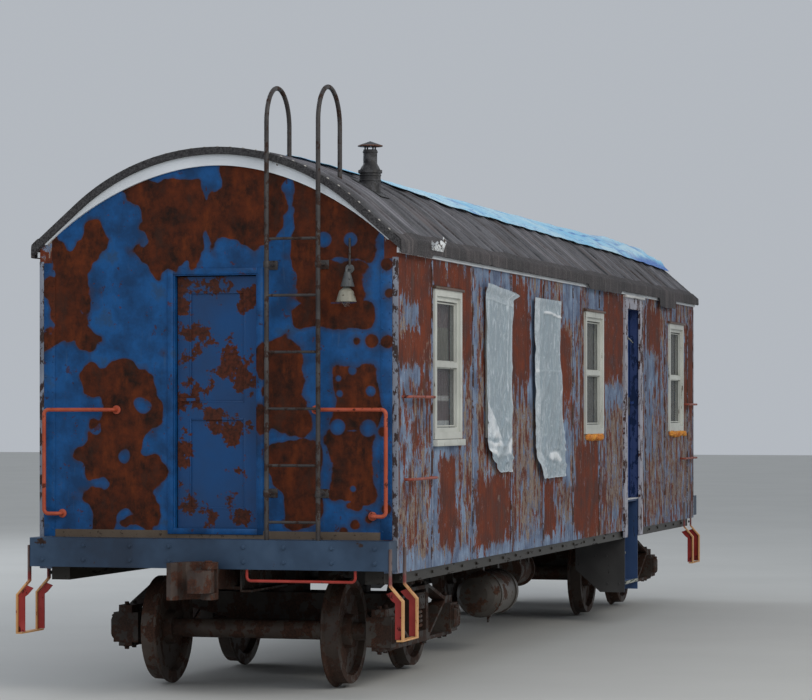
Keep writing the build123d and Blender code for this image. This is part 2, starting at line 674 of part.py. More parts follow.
# Side door frames: lining, stops, outside casing and hinge pins
LEAF_WIDTH = 2 * (LINING_INNER - LEAF_GAP)
LEAF_BOTTOM = FLOOR_TOP + LEAF_GAP
LEAF_TOP = DOOR_TOP + DOOR_STOP - LEAF_GAP
PIVOT_Y = LEAF_INNER_Y - HINGE_BARREL_RADIUS
PIVOT_X = DOOR_CENTRE - LEAF_WIDTH / 2
HINGE_HEIGHTS = (LEAF_BOTTOM + HINGE_END_DISTANCE, LEAF_TOP - HINGE_END_DISTANCE)
KNUCKLE = HINGE_HEIGHT / 3
with BuildPart() as left_door_frame:
    lining_top = DOOR_TOP + DOOR_STOP
    frame_top = DOOR_TOP + LINING_THICKNESS
    with BuildSketch(Plane.XZ.offset(FRAME_INNER_Y)):
        with Locations((DOOR_CENTRE, (DOOR_FRAME_BOTTOM + frame_top) / 2)):
            Rectangle(2 * DOOR_CUT, frame_top - DOOR_FRAME_BOTTOM)
        with Locations((DOOR_CENTRE, lining_top)):
            opening_height = lining_top - DOOR_FRAME_BOTTOM + LINING_THICKNESS
            Rectangle(2 * LINING_INNER, opening_height, align=(Align.CENTER, Align.MAX), mode=Mode.SUBTRACT)
    extrude(amount=HALF_WIDTH - FRAME_INNER_Y)
    with BuildSketch(Plane.XZ.offset(LEAF_OUTER_Y + 5)):
        with Locations((DOOR_CENTRE, (FLOOR_TOP + lining_top) / 2)):
            Rectangle(2 * LINING_INNER, lining_top - FLOOR_TOP)
        with Locations((DOOR_CENTRE, (FLOOR_TOP + DOOR_TOP) / 2)):
            Rectangle(DOOR_CLEAR, DOOR_TOP - FLOOR_TOP, mode=Mode.SUBTRACT)
    extrude(amount=DOOR_STOP)
    with BuildSketch(Plane.XZ.offset(HALF_WIDTH)):
        casing_half = DOOR_CLEAR / 2 + DOOR_CASING_WIDTH
        casing_top = DOOR_TOP + DOOR_HEADER_HEIGHT
        with Locations((DOOR_CENTRE, (DOOR_FRAME_BOTTOM + casing_top) / 2)):
            Rectangle(2 * casing_half, casing_top - DOOR_FRAME_BOTTOM)
        with Locations((DOOR_CENTRE, DOOR_TOP)):
            opening_height = DOOR_TOP - DOOR_FRAME_BOTTOM + LINING_THICKNESS
            Rectangle(DOOR_CLEAR, opening_height, align=(Align.CENTER, Align.MAX), mode=Mode.SUBTRACT)
    extrude(amount=CASING_PROUD)
    for hinge_z in HINGE_HEIGHTS:
        with Locations((PIVOT_X, -PIVOT_Y, hinge_z)):
            Cylinder(HINGE_PIN_RADIUS, HINGE_HEIGHT)
        for offset in (-KNUCKLE, KNUCKLE):
            with Locations((PIVOT_X, -PIVOT_Y, hinge_z + offset)):
                Cylinder(HINGE_BARREL_RADIUS, KNUCKLE - 2)
            plate_width = FRAME_INNER_Y - PIVOT_Y + HINGE_BARREL_RADIUS
            plate_x = DOOR_CENTRE - LINING_INNER - 10
            with Locations((plate_x, plate_width / 2 - FRAME_INNER_Y, hinge_z + offset)):
                Box(20, plate_width, KNUCKLE - 2)
for side_name, side in SIDES:
    door_frame = handed(left_door_frame.part, side, Plane.XZ)
    door_frame.label = f"door_frame_{side_name}"
    export_step(door_frame, f"parts/door_frame_{side_name}.step")

# Side door leaves: stiles and rails round a glazed upper and a panelled lower field
with BuildPart() as left_door_leaf:
    leaf_height = LEAF_TOP - LEAF_BOTTOM
    with BuildSketch(Plane.XZ.offset(LEAF_INNER_Y)):
        with Locations((DOOR_CENTRE, (LEAF_BOTTOM + LEAF_TOP) / 2)):
            Rectangle(LEAF_WIDTH, leaf_height)
    extrude(amount=LEAF_THICKNESS)
    field_width = LEAF_WIDTH - 2 * LEAF_STILE
    for field_low, field_high in ((0.08, 0.44), (0.50, 0.94)):
        field_height = (field_high - field_low) * leaf_height
        field_middle = LEAF_BOTTOM + (field_low + field_high) / 2 * leaf_height
        for field_y, direction in ((LEAF_OUTER_Y, -1), (LEAF_INNER_Y, 1)):
            with BuildSketch(Plane.XZ.offset(field_y)):
                with Locations((DOOR_CENTRE, field_middle)):
                    Rectangle(field_width, field_height)
            extrude(amount=direction * PANEL_RECESS, mode=Mode.SUBTRACT)
    for hinge_z in HINGE_HEIGHTS:
        with Locations((PIVOT_X, -PIVOT_Y, hinge_z)):
            Cylinder(HINGE_BARREL_RADIUS, KNUCKLE - 2)
        with Locations((PIVOT_X + 15, -(LEAF_INNER_Y - 4), hinge_z)):
            Box(30, 8, KNUCKLE - 2)
        with Locations((PIVOT_X, -PIVOT_Y, hinge_z)):
            Cylinder(HINGE_PIN_RADIUS + SEAT, HINGE_HEIGHT, mode=Mode.SUBTRACT)
    handle_x = DOOR_CENTRE + LEAF_WIDTH / 2 - LEAF_STILE / 2
    with Locations((handle_x, -(LEAF_OUTER_Y + HANDLE_STANDOFF / 2), HANDLE_HEIGHT)):
        Cylinder(10, HANDLE_STANDOFF, rotation=(90, 0, 0))
    with Locations((handle_x - 45, -(LEAF_OUTER_Y + HANDLE_STANDOFF + 4), HANDLE_HEIGHT)):
        Box(HANDLE_LENGTH, 14, 22)
for side_name, side in SIDES:
    door_leaf = handed(left_door_leaf.part, side, Plane.XZ)
    door_leaf.label = f"door_leaf_{side_name}"
    export_step(door_leaf, f"parts/door_leaf_{side_name}.step")

# Stairs below the side doors: two cheek plates, three treads and their risers
with BuildPart() as left_stair:
    outer_y = -(HALF_WIDTH - 10)
    inner_y = -(HALF_WIDTH - STAIR_DEPTH)
    stair_top = FLOOR_TOP - TRAP_THICKNESS
    for sign in (-1, 1):
        cheek_x = DOOR_CENTRE + sign * (STAIR_HALF - STAIR_PLATE / 2)
        with BuildSketch(Plane.YZ.offset(cheek_x)):
            with BuildLine():
                Polyline(
                    (outer_y, stair_top),
                    (outer_y, STAIR_BOTTOM),
                    (-(HALF_WIDTH - STAIR_FOOT_DEPTH), STAIR_BOTTOM),
                    (inner_y, STAIR_SHOULDER),
                    (inner_y, stair_top),
                    close=True,
                )
            make_face()
        extrude(amount=STAIR_PLATE / 2, both=True)
    for index, tread_top in enumerate(TREAD_HEIGHTS):
        tread_start = outer_y + index * TREAD_SETBACK
        tread_end = tread_start + TREAD_DEPTH
        riser_top = TREAD_HEIGHTS[index + 1] if index + 1 < len(TREAD_HEIGHTS) else FLOOR_BOTTOM
        with BuildSketch(Plane.YZ.offset(DOOR_CENTRE)):
            with Locations(((tread_start + tread_end) / 2, tread_top - TREAD_THICKNESS / 2)):
                Rectangle(TREAD_DEPTH, TREAD_THICKNESS)
            with Locations((tread_end - STAIR_PLATE / 2, (tread_top + riser_top) / 2 - TREAD_THICKNESS / 2)):
                Rectangle(STAIR_PLATE, riser_top - tread_top)
        extrude(amount=STAIR_HALF - STAIR_PLATE, both=True)
for side_name, side in SIDES:
    stair = handed(left_stair.part, side, Plane.XZ)
    stair.label = f"stair_{side_name}"
    export_step(stair, f"parts/stair_{side_name}.step")

# End door leaves, hung inside the end walls
END_LEAF_WIDTH = END_DOOR_CLEAR - 2 * LEAF_GAP
END_LEAF_OUTER = HALF_LENGTH - END_LEAF_INSET
END_LEAF_INNER = END_LEAF_OUTER - LEAF_THICKNESS
END_LEAF_TOP = END_DOOR_TOP - LEAF_GAP
END_PIVOT_X = END_LEAF_INNER - HINGE_BARREL_RADIUS
END_PIVOT_Y = -END_LEAF_WIDTH / 2
END_HINGE_HEIGHTS = (LEAF_BOTTOM + HINGE_END_DISTANCE, END_LEAF_TOP - HINGE_END_DISTANCE)
END_WALL_INNER = HALF_LENGTH - END_THICKNESS
with BuildPart() as b_end_leaf:
    with BuildSketch(Plane.YZ.offset(END_LEAF_INNER)):
        with Locations((0, (LEAF_BOTTOM + END_LEAF_TOP) / 2)):
            Rectangle(END_LEAF_WIDTH, END_LEAF_TOP - LEAF_BOTTOM)
    extrude(amount=LEAF_THICKNESS)
    end_leaf_height = END_LEAF_TOP - LEAF_BOTTOM
    for field_low, field_high in ((0.08, 0.44), (0.50, 0.94)):
        for field_x, direction in ((END_LEAF_OUTER, -1), (END_LEAF_INNER, 1)):
            with BuildSketch(Plane.YZ.offset(field_x)):
                with Locations((0, LEAF_BOTTOM + (field_low + field_high) / 2 * end_leaf_height)):
                    Rectangle(END_LEAF_WIDTH - 2 * LEAF_STILE, (field_high - field_low) * end_leaf_height)
            extrude(amount=direction * PANEL_RECESS, mode=Mode.SUBTRACT)
    for hinge_z in END_HINGE_HEIGHTS:
        with Locations((END_PIVOT_X, END_PIVOT_Y, hinge_z)):
            Cylinder(HINGE_BARREL_RADIUS, KNUCKLE - 2)
        with Locations((END_LEAF_INNER - 4, END_PIVOT_Y + 15, hinge_z)):
            Box(8, 30, KNUCKLE - 2)
        with Locations((END_PIVOT_X, END_PIVOT_Y, hinge_z)):
            Cylinder(HINGE_PIN_RADIUS + SEAT, HINGE_HEIGHT, mode=Mode.SUBTRACT)
    end_handle_y = END_LEAF_WIDTH / 2 - LEAF_STILE / 2
    with Locations((END_LEAF_OUTER + 12, end_handle_y, HANDLE_HEIGHT)):
        Cylinder(10, 24, rotation=(0, 90, 0))
    with Locations((END_LEAF_OUTER + 28, end_handle_y - 45, HANDLE_HEIGHT)):
        Box(12, HANDLE_LENGTH, 22)
for end_name, end in ENDS:
    end_leaf = handed(b_end_leaf.part, -end, Plane.YZ)
    end_leaf.label = f"end_door_{end_name}"
    export_step(end_leaf, f"parts/end_door_{end_name}.step")

# Hinge pins of the end doors, on plates inside the end walls
with BuildPart() as end_hinges:
    for _, end in ENDS:
        for hinge_z in END_HINGE_HEIGHTS:
            with Locations((end * END_PIVOT_X, END_PIVOT_Y, hinge_z)):
                Cylinder(HINGE_PIN_RADIUS, HINGE_HEIGHT)
            for offset in (-KNUCKLE, KNUCKLE):
                with Locations((end * END_PIVOT_X, END_PIVOT_Y, hinge_z + offset)):
                    Cylinder(HINGE_BARREL_RADIUS, KNUCKLE - 2)
                plate_width = 60
                plate_y = END_PIVOT_Y - plate_width / 2 + 6
                plate_inner = END_PIVOT_X - HINGE_BARREL_RADIUS
                with Locations((end * (plate_inner + END_WALL_INNER) / 2, plate_y - 14, hinge_z + offset)):
                    Box(END_WALL_INNER - plate_inner, plate_width, KNUCKLE - 2)
end_hinges.part.label = "end_door_hinges"
export_step(end_hinges.part, "parts/end_door_hinges.step")

# Horizontal grab irons by the four corners
with BuildPart() as side_grab_irons:
    for _, side in SIDES:
        for end, first, last, height in GRABS:
            wall_y = side * HALF_WIDTH
            bar_y = side * (HALF_WIDTH + GRAB_STANDOFF)
            start_x = end * (HALF_LENGTH - first)
            stop_x = end * (HALF_LENGTH - last)
            corners = ((start_x, wall_y), (start_x, bar_y), (stop_x, bar_y), (stop_x, wall_y))
            add(rod([(x, y, height) for x, y in corners], GRAB_RADIUS, 3 * GRAB_RADIUS))
side_grab_irons.part.label = "side_grab_irons"
export_step(side_grab_irons.part, "parts/side_grab_irons.step")

# Pipe handrails on the end walls
with BuildPart() as end_handrails:
    upright, foot, far = END_RAIL_INSETS
    for _, side in SIDES:
        for _, end in ENDS:
            wall_x = end * HALF_LENGTH
            rail_x = end * (HALF_LENGTH + END_RAIL_STANDOFF)
            points = (
                (wall_x, side * (HALF_WIDTH - far), END_RAIL_HEIGHT),
                (rail_x, side * (HALF_WIDTH - far), END_RAIL_HEIGHT),
                (rail_x, side * (HALF_WIDTH - upright), END_RAIL_HEIGHT),
                (rail_x, side * (HALF_WIDTH - upright), END_RAIL_FOOT),
                (rail_x, side * (HALF_WIDTH - foot), END_RAIL_FOOT),
                (wall_x, side * (HALF_WIDTH - foot), END_RAIL_FOOT),
            )
            add(rod(points, END_RAIL_RADIUS, 2.4 * END_RAIL_RADIUS))
end_handrails.part.label = "end_handrails"
export_step(end_handrails.part, "parts/end_handrails.step")

# Ladder at the A end, its stiles looped over onto the roof
with BuildPart() as end_ladder:
    stile_x = -(HALF_LENGTH + LADDER_STANDOFF)
    roof_x = stile_x + LADDER_LOOP_REACH
    loop_radius = LADDER_LOOP_REACH / 2
    loop_z = CROWN_HEIGHT + LADDER_LOOP_RISE - LADDER_PIPE_RADIUS - loop_radius
    for inset in LADDER_INSETS:
        stile_y = -(HALF_WIDTH - inset)
        with BuildLine() as stile_path:
            Line((stile_x, stile_y, SILL_TOP), (stile_x, stile_y, loop_z))
            ThreePointArc(
                (stile_x, stile_y, loop_z),
                (stile_x + loop_radius, stile_y, loop_z + loop_radius),
                (roof_x, stile_y, loop_z),
            )
            Line((roof_x, stile_y, loop_z), (roof_x, stile_y, roof_height(stile_y) - 20))
        with BuildSketch(stile_path.line ^ 0):
            Circle(LADDER_PIPE_RADIUS)
        sweep(path=stile_path.line)
    roof_cut = under_arch(Plane.YZ, ROOF_THICKNESS + SEAT, ROOF_REACH, FLOOR_TOP)
    extrude(roof_cut, amount=ROOF_HALF_LENGTH, both=True, mode=Mode.SUBTRACT)
    for inset in LADDER_INSETS:
        stile_y = -(HALF_WIDTH - inset)
        for rise in LADDER_BRACKET_RISES:
            bracket_z = SILL_TOP + rise
            wall_point = (-HALF_LENGTH, stile_y, bracket_z)
            add(straight((stile_x, stile_y, bracket_z), wall_point, RUNG_RADIUS))
    for index in range(RUNG_COUNT):
        rung_z = CROWN_HEIGHT - RUNG_DROP - index * RUNG_PITCH
        rung_ends = [(stile_x, -(HALF_WIDTH - inset), rung_z) for inset in LADDER_INSETS]
        add(straight(rung_ends[0], rung_ends[1], RUNG_RADIUS))
end_ladder.part.label = "end_ladder"
export_step(end_ladder.part, "parts/end_ladder.step")

# Lamp on a bracket beside the A end's corner
with BuildPart() as lamp:
    brim_z, shoulder_z, neck_z, bracket_z = LAMP_HEIGHTS
    lamp_x = -(HALF_LENGTH + LAMP_REACH)
    lamp_y = -(HALF_WIDTH - LAMP_INSET)
    with BuildSketch(Plane.XZ.offset(-lamp_y)):
        with BuildLine():
            Polyline(
                (lamp_x, neck_z),
                (lamp_x - 17, neck_z),
                (lamp_x - 24, shoulder_z + 12),
                (lamp_x - LAMP_RADIUS * 0.72, shoulder_z - 20),
                (lamp_x - LAMP_RADIUS * 0.92, brim_z + 28),
                (lamp_x - LAMP_RADIUS, brim_z),
                (lamp_x, brim_z),
                close=True,
            )
        make_face()
    revolve(axis=Axis((lamp_x, lamp_y, 0), (0, 0, 1)))
    bracket_route = ((-HALF_LENGTH, bracket_z), (lamp_x, bracket_z), (lamp_x, neck_z - 4))
    add(rod([(x, lamp_y, z) for x, z in bracket_route], 10, 30))
    with Locations((-HALF_LENGTH - 6, lamp_y, bracket_z)):
        Cylinder(34, 12, rotation=(0, 90, 0))
lamp.part.label = "lamp"
export_step(lamp.part, "parts/lamp.step")

# Smoke jack: pipe, flared collar, neck, open posts and a cone cap
with BuildPart() as smoke_jack:
    foot_radius, neck_radius, cap_radius = JACK_RADII
    jack_roof_z = roof_height(JACK_Y, ROOF_THICKNESS)
    ring_z, flare_z, pipe_z, brim_z, tip_z = [jack_roof_z + rise for rise in JACK_RISES]
    jack_axis = Axis((JACK_X, JACK_Y, 0), (0, 0, 1))
    with BuildSketch(Plane.XZ.offset(-JACK_Y)):
        with BuildLine():
            Polyline(
                (JACK_X, jack_roof_z - 2 * foot_radius),
                (JACK_X + foot_radius, jack_roof_z - 2 * foot_radius),
                (JACK_X + foot_radius, ring_z),
                (JACK_X + foot_radius + 12, ring_z),
                (JACK_X + foot_radius + 12, ring_z + 24),
                (JACK_X + foot_radius, ring_z + 24),
                (JACK_X + neck_radius, flare_z),
                (JACK_X + neck_radius, pipe_z),
                (JACK_X, pipe_z),
                close=True,
            )
        make_face()
    revolve(axis=jack_axis)
    with BuildSketch(Plane.XZ.offset(-JACK_Y)):
        with BuildLine():
            Polyline(
                (JACK_X, brim_z),
                (JACK_X + cap_radius, brim_z),
                (JACK_X + cap_radius, brim_z + 6),
                (JACK_X, tip_z),
                close=True,
            )
        make_face()
    revolve(axis=jack_axis)
    with Locations((JACK_X, JACK_Y, (pipe_z + brim_z) / 2)):
        with PolarLocations(neck_radius - 10, 4, start_angle=45):
            Box(10, 10, brim_z - pipe_z + 2)
    extrude(roof_cut, amount=ROOF_HALF_LENGTH, both=True, mode=Mode.SUBTRACT)
smoke_jack.part.label = "smoke_jack"
export_step(smoke_jack.part, "parts/smoke_jack.step")

# Stirrup steps of flat bar below the corners
with BuildPart() as stirrup_steps:
    stirrups = (-HALF_LENGTH, HALF_LENGTH - STIRRUP_INSET)  # X of the middle
    bend_top, bend_bottom = STIRRUP_BEND_HEIGHTS
    inner_y = HALF_WIDTH + STIRRUP_BAR_THICKNESS
    outer_y = HALF_WIDTH + STIRRUP_PROUD
    for _, side in SIDES:
        for middle_x in stirrups:
            for sign in (-1, 1):
                leg_x = middle_x + sign * (STIRRUP_WIDTH - STIRRUP_BAR_WIDTH) / 2
                with BuildSketch(Plane.YZ.offset(leg_x)):
                    with BuildLine():
                        Polyline(
                            (side * HALF_WIDTH, STIRRUP_TOP),
                            (side * HALF_WIDTH, bend_top),
                            (side * (outer_y - STIRRUP_BAR_THICKNESS), bend_bottom),
                            (side * (outer_y - STIRRUP_BAR_THICKNESS), STIRRUP_BOTTOM),
                            (side * outer_y, STIRRUP_BOTTOM),
                            (side * outer_y, bend_bottom + 5),
                            (side * inner_y, bend_top + 5),
                            (side * inner_y, STIRRUP_TOP),
                            close=True,
                        )
                    make_face()
                extrude(amount=STIRRUP_BAR_WIDTH / 2, both=True)
            with Locations((middle_x, side * (outer_y - STIRRUP_BAR_WIDTH / 2), STIRRUP_BOTTOM + 6)):
                Box(STIRRUP_WIDTH, STIRRUP_BAR_WIDTH, STIRRUP_BAR_THICKNESS)
stirrup_steps.part.label = "stirrup_steps"
export_step(stirrup_steps.part, "parts/stirrup_steps.step")

# Uncoupling levers below the end sills
with BuildPart() as uncoupling_levers:
    for _, end in ENDS:
        lever_x = end * (HALF_LENGTH + END_SILL_LENGTH - 25)
        outer, inner = [end * (HALF_WIDTH - inset) for inset in LEVER_INSETS]
        points = (
            (lever_x, outer, END_SILL_BOTTOM),
            (lever_x, outer, LEVER_HEIGHT),
            (lever_x, inner, LEVER_HEIGHT),
            (lever_x, inner, END_SILL_BOTTOM),
        )
        add(rod(points, LEVER_RADIUS, 3 * LEVER_RADIUS))
uncoupling_levers.part.label = "uncoupling_levers"
export_step(uncoupling_levers.part, "parts/uncoupling_levers.step")

# Air reservoir in two straps under the cross-bearers
with BuildPart() as air_reservoir:
    tank_start, tank_end = TANK_X
    with BuildSketch(Plane.XY.offset(TANK_HEIGHT)):
        with BuildLine():
            Polyline(
                (tank_start, TANK_Y),
                (tank_start + 8, TANK_Y + TANK_RADIUS * 0.5),
                (tank_start + 30, TANK_Y + TANK_RADIUS * 0.82),
                (tank_start + 75, TANK_Y + TANK_RADIUS),
                (tank_end - 75, TANK_Y + TANK_RADIUS),
                (tank_end - 30, TANK_Y + TANK_RADIUS * 0.82),
                (tank_end - 8, TANK_Y + TANK_RADIUS * 0.5),
                (tank_end, TANK_Y),
                close=True,
            )
        make_face()
    revolve(axis=Axis((0, TANK_Y, TANK_HEIGHT), (1, 0, 0)))
    for strap_x in TANK_BEARERS:
        with BuildSketch(Plane.YZ.offset(strap_x)):
            with Locations((TANK_Y, (TANK_HEIGHT + CROSS_BEARER_BOTTOM) / 2)):
                Rectangle(STRAP_WIDTH, CROSS_BEARER_BOTTOM - TANK_HEIGHT)
            with Locations((TANK_Y, TANK_HEIGHT)):
                Circle(TANK_RADIUS + SEAT + STRAP_THICKNESS)
                Circle(TANK_RADIUS + SEAT, mode=Mode.SUBTRACT)
        extrude(amount=STRAP_WIDTH / 2, both=True)
air_reservoir.part.label = "air_reservoir"
export_step(air_reservoir.part, "parts/air_reservoir.step")

# Brake cylinder with its push rod, hung from two cross-bearers
with BuildPart() as brake_cylinder:
    cylinder_start, cylinder_end = CYLINDER_X
    stages = (  # from X, to X, radius
        (cylinder_start, cylinder_end, CYLINDER_RADIUS),
        (cylinder_start - 26, cylinder_start, CYLINDER_RADIUS + 26),
        (cylinder_end, cylinder_end + 26, CYLINDER_RADIUS + 26),
        (cylinder_end + 26, cylinder_end + 110, 52),
        (cylinder_end + 110, cylinder_end + 420, 24),
    )
    for start, end, radius in stages:
        with BuildSketch(Plane.YZ.offset(start)):
            with Locations((CYLINDER_Y, CYLINDER_HEIGHT)):
                Circle(radius)
        extrude(amount=end - start)
    for bearer_x in CYLINDER_BEARERS:
        with Locations((bearer_x, CYLINDER_Y, (CYLINDER_HEIGHT + CROSS_BEARER_BOTTOM) / 2)):
            Box(STRAP_WIDTH, 2 * CYLINDER_RADIUS - 20, CROSS_BEARER_BOTTOM - CYLINDER_HEIGHT)
    with Locations((cylinder_end + 400, CYLINDER_Y + 130, CYLINDER_HEIGHT)):
        Box(60, 420, 24)
brake_cylinder.part.label = "brake_cylinder"
export_step(brake_cylinder.part, "parts/brake_cylinder.step")

# Couplers: shank with a pinned eye, head with a guard arm and two lugs
PIVOT_OUT, PIVOT_ASIDE = KNUCKLE_PIVOT
with BuildPart() as b_coupler:
    shank_half = COUPLER_SHANK_WIDTH / 2
    with BuildSketch(Plane.XY.offset(COUPLER_HEIGHT)):
        with Locations(((COUPLER_PIVOT + COUPLER_HEAD_START) / 2, 0)):
            Rectangle(COUPLER_HEAD_START - COUPLER_PIVOT, COUPLER_SHANK_WIDTH)
        with Locations((COUPLER_PIVOT, 0)):
            Circle(shank_half)
    extrude(amount=COUPLER_SHANK_HEIGHT / 2, both=True)
    with BuildSketch(Plane.XY.offset(COUPLER_HEIGHT)):
        with Locations((COUPLER_HEAD_START, 0)):
            with BuildLine():
                Polyline(*[(COUPLER_HEAD_START + u, v) for u, v in HEAD_OUTLINE], close=True)
            make_face()
    extrude(amount=COUPLER_HEAD_HEIGHT / 2, both=True)
    lug_thickness = (COUPLER_HEAD_HEIGHT - KNUCKLE_HEIGHT) / 2 - 5
    for sign in (-1, 1):
        with BuildSketch(Plane.XY.offset(COUPLER_HEIGHT + sign * COUPLER_HEAD_HEIGHT / 2)):
            with BuildLine():
                Polyline(*[(COUPLER_HEAD_START + u, v) for u, v in LUG_OUTLINE], close=True)
            make_face()
            with Locations((COUPLER_HEAD_START + PIVOT_OUT, PIVOT_ASIDE)):
                Circle(50)
        extrude(amount=-sign * lug_thickness)
    with BuildSketch(Plane.XY.offset(COUPLER_HEIGHT)):
        with Locations((COUPLER_HEAD_START + PIVOT_OUT, PIVOT_ASIDE)):
            Circle(KNUCKLE_PIN_RADIUS)
    extrude(amount=COUPLER_HEAD_HEIGHT / 2 - 2, both=True)
    with BuildSketch(Plane.XY):
        with Locations((COUPLER_PIVOT, 0)):
            Circle(COUPLER_PIN_RADIUS + SEAT)
    extrude(amount=CROWN_HEIGHT, mode=Mode.SUBTRACT)

with BuildPart() as b_knuckle:
    with BuildSketch(Plane.XY.offset(COUPLER_HEIGHT)):
        with BuildLine():
            Polyline(*[(COUPLER_HEAD_START + u, v) for u, v in KNUCKLE_OUTLINE], close=True)
        make_face()
        with Locations((COUPLER_HEAD_START + PIVOT_OUT, PIVOT_ASIDE)):
            Circle(46)
            Circle(KNUCKLE_PIN_RADIUS + SEAT, mode=Mode.SUBTRACT)
    extrude(amount=KNUCKLE_HEIGHT / 2, both=True)
for end_name, turn in (("a", 180), ("b", 0)):
    coupler = Rot(0, 0, turn) * b_coupler.part
    coupler.label = f"coupler_{end_name}"
    export_step(coupler, f"parts/coupler_{end_name}.step")
    knuckle = Rot(0, 0, turn) * b_knuckle.part
    knuckle.label = f"knuckle_{end_name}"
    export_step(knuckle, f"parts/knuckle_{end_name}.step")

# Bogie side frames: an arch bar, an inverted bar and a tie bar a side, columns and spring plank
ARCH_TOP = BOX_TOP + 2 * BAR_THICKNESS
BAR_END = WHEELBASE / 2 + BAR_REACH
BEND_START = WHEELBASE / 2 - BAR_REACH
SLOPE_FOOT = COLUMN_OUTER + 35
BENT_BARS = (  # height of the underside at the boxes, height at the middle
    (ARCH_TOP - BAR_THICKNESS, ARCH_TOP - BAR_THICKNESS + ARCH_RISE),
    (BOX_TOP, BOX_BOTTOM),
)
with BuildPart() as bogie_frame:
    for _, side in SIDES:
        with BuildSketch(Plane.XZ.offset(-side * JOURNAL_CENTRE)):
            for end_z, middle_z in BENT_BARS:
                lower = [(BAR_END, end_z), (BEND_START, end_z), (SLOPE_FOOT, middle_z)]
                upper = [(x, z + BAR_THICKNESS) for x, z in lower]
                lower_run = lower + [flip(point) for point in lower[::-1]]
                upper_run = [flip(point) for point in upper] + upper[::-1]
                with BuildLine():
                    Polyline(*lower_run, *upper_run, close=True)
                make_face()
            with Locations((0, BOX_BOTTOM - BAR_THICKNESS / 2)):
                Rectangle(2 * BAR_END, BAR_THICKNESS)
            column_top = ARCH_TOP + ARCH_RISE
            column_x = (COLUMN_INNER + COLUMN_OUTER) / 2
            column_z = (PLANK_BOTTOM + column_top) / 2
            with Locations((column_x, column_z), (-column_x, column_z)):
                Rectangle(COLUMN_LENGTH, column_top - PLANK_BOTTOM)
        extrude(amount=BAR_WIDTH / 2, both=True)
    plank_reach = JOURNAL_CENTRE + BAR_WIDTH / 2
    with Locations((0, 0, PLANK_BOTTOM + PLANK_THICKNESS / 2)):
        Box(2 * COLUMN_INNER, 2 * plank_reach, PLANK_THICKNESS)
    for sign in (-1, 1):
        for _, side in SIDES:
            arm_end = WHEELBASE / 2 - TREAD_RADIUS - CLEAR - SHOE_THICKNESS
            with Locations((sign * (COLUMN_INNER + arm_end) / 2, side * BEAM_CARRIER_Y, PLANK_TOP - 10)):
                Box(arm_end - COLUMN_INNER + 40, 50, 20)
for end_name, end in ENDS:
    frame = Pos(end * BOGIE_CENTRE, 0, 0) * bogie_frame.part
    frame.label = f"bogie_frame_{end_name}"
    export_step(frame, f"parts/bogie_frame_{end_name}.step")

# Bogie bolsters with the centre bowl and side bearings
with BuildPart() as bogie_bolster:
    bolster_reach = JOURNAL_CENTRE + BAR_WIDTH / 2 - 5
    belly_z = BOLSTER_TOP - BOLSTER_DEPTH
    with BuildSketch(Plane.YZ):
        with BuildLine():
            Polyline(
                (-bolster_reach, BOLSTER_TOP),
                (-bolster_reach, BOLSTER_END_BOTTOM),
                (-bolster_reach * 0.72, BOLSTER_END_BOTTOM),
                (-bolster_reach * 0.38, belly_z),
                (bolster_reach * 0.38, belly_z),
                (bolster_reach * 0.72, BOLSTER_END_BOTTOM),
                (bolster_reach, BOLSTER_END_BOTTOM),
                (bolster_reach, BOLSTER_TOP),
                close=True,
            )
        make_face()
    extrude(amount=COLUMN_INNER - SEAT, both=True)
    with BuildSketch(Plane.XY.offset(BOLSTER_TOP)):
        Circle(CENTRE_PLATE_RADIUS)
    extrude(amount=CENTRE_PLATE_HEIGHT)
    with BuildSketch(Plane.XY.offset(BOLSTER_TOP)):
        with Locations((0, SIDE_BEARING_Y), (0, -SIDE_BEARING_Y)):
            Rectangle(SIDE_BEARING_SIZE, SIDE_BEARING_SIZE)
    extrude(amount=BEARING_PLANE - CLEAR - BOLSTER_TOP)
    with BuildSketch(Plane.XY):
        Circle(KING_PIN_RADIUS + SEAT)
    extrude(amount=CROWN_HEIGHT, mode=Mode.SUBTRACT)
for end_name, end in ENDS:
    bolster = Pos(end * BOGIE_CENTRE, 0, 0) * bogie_bolster.part
    bolster.label = f"bogie_bolster_{end_name}"
    export_step(bolster, f"parts/bogie_bolster_{end_name}.step")

# Bogie springs between the plank and the bolster's ends
with BuildPart() as bogie_springs:
    spring_bottom = PLANK_TOP + SEAT
    spring_top = BOLSTER_END_BOTTOM - SEAT
    pitch = (spring_top - spring_bottom) / SPRING_COILS
    waist = SPRING_RADIUS - SPRING_WIRE / 2
    for _, side in SIDES:
        for sign in (-1, 1):
            spring_x = sign * (COLUMN_INNER / 2 - 10)
            spring_y = side * (JOURNAL_CENTRE - 20)
            outline = [(spring_x, spring_bottom), (spring_x + waist, spring_bottom)]
            for index in range(SPRING_COILS):
                coil_z = spring_bottom + index * pitch
                outline += [
                    (spring_x + SPRING_RADIUS, coil_z + pitch * 0.3),
                    (spring_x + SPRING_RADIUS, coil_z + pitch * 0.7),
                    (spring_x + waist, coil_z + pitch),
                ]
            outline += [(spring_x, spring_top)]
            with BuildSketch(Plane.XZ.offset(-spring_y)):
                with BuildLine():
                    Polyline(*outline, close=True)
                make_face()
            revolve(axis=Axis((spring_x, spring_y, 0), (0, 0, 1)))
for end_name, end in ENDS:
    springs = Pos(end * BOGIE_CENTRE, 0, 0) * bogie_springs.part
    springs.label = f"bogie_springs_{end_name}"
    export_step(springs, f"parts/bogie_springs_{end_name}.step")

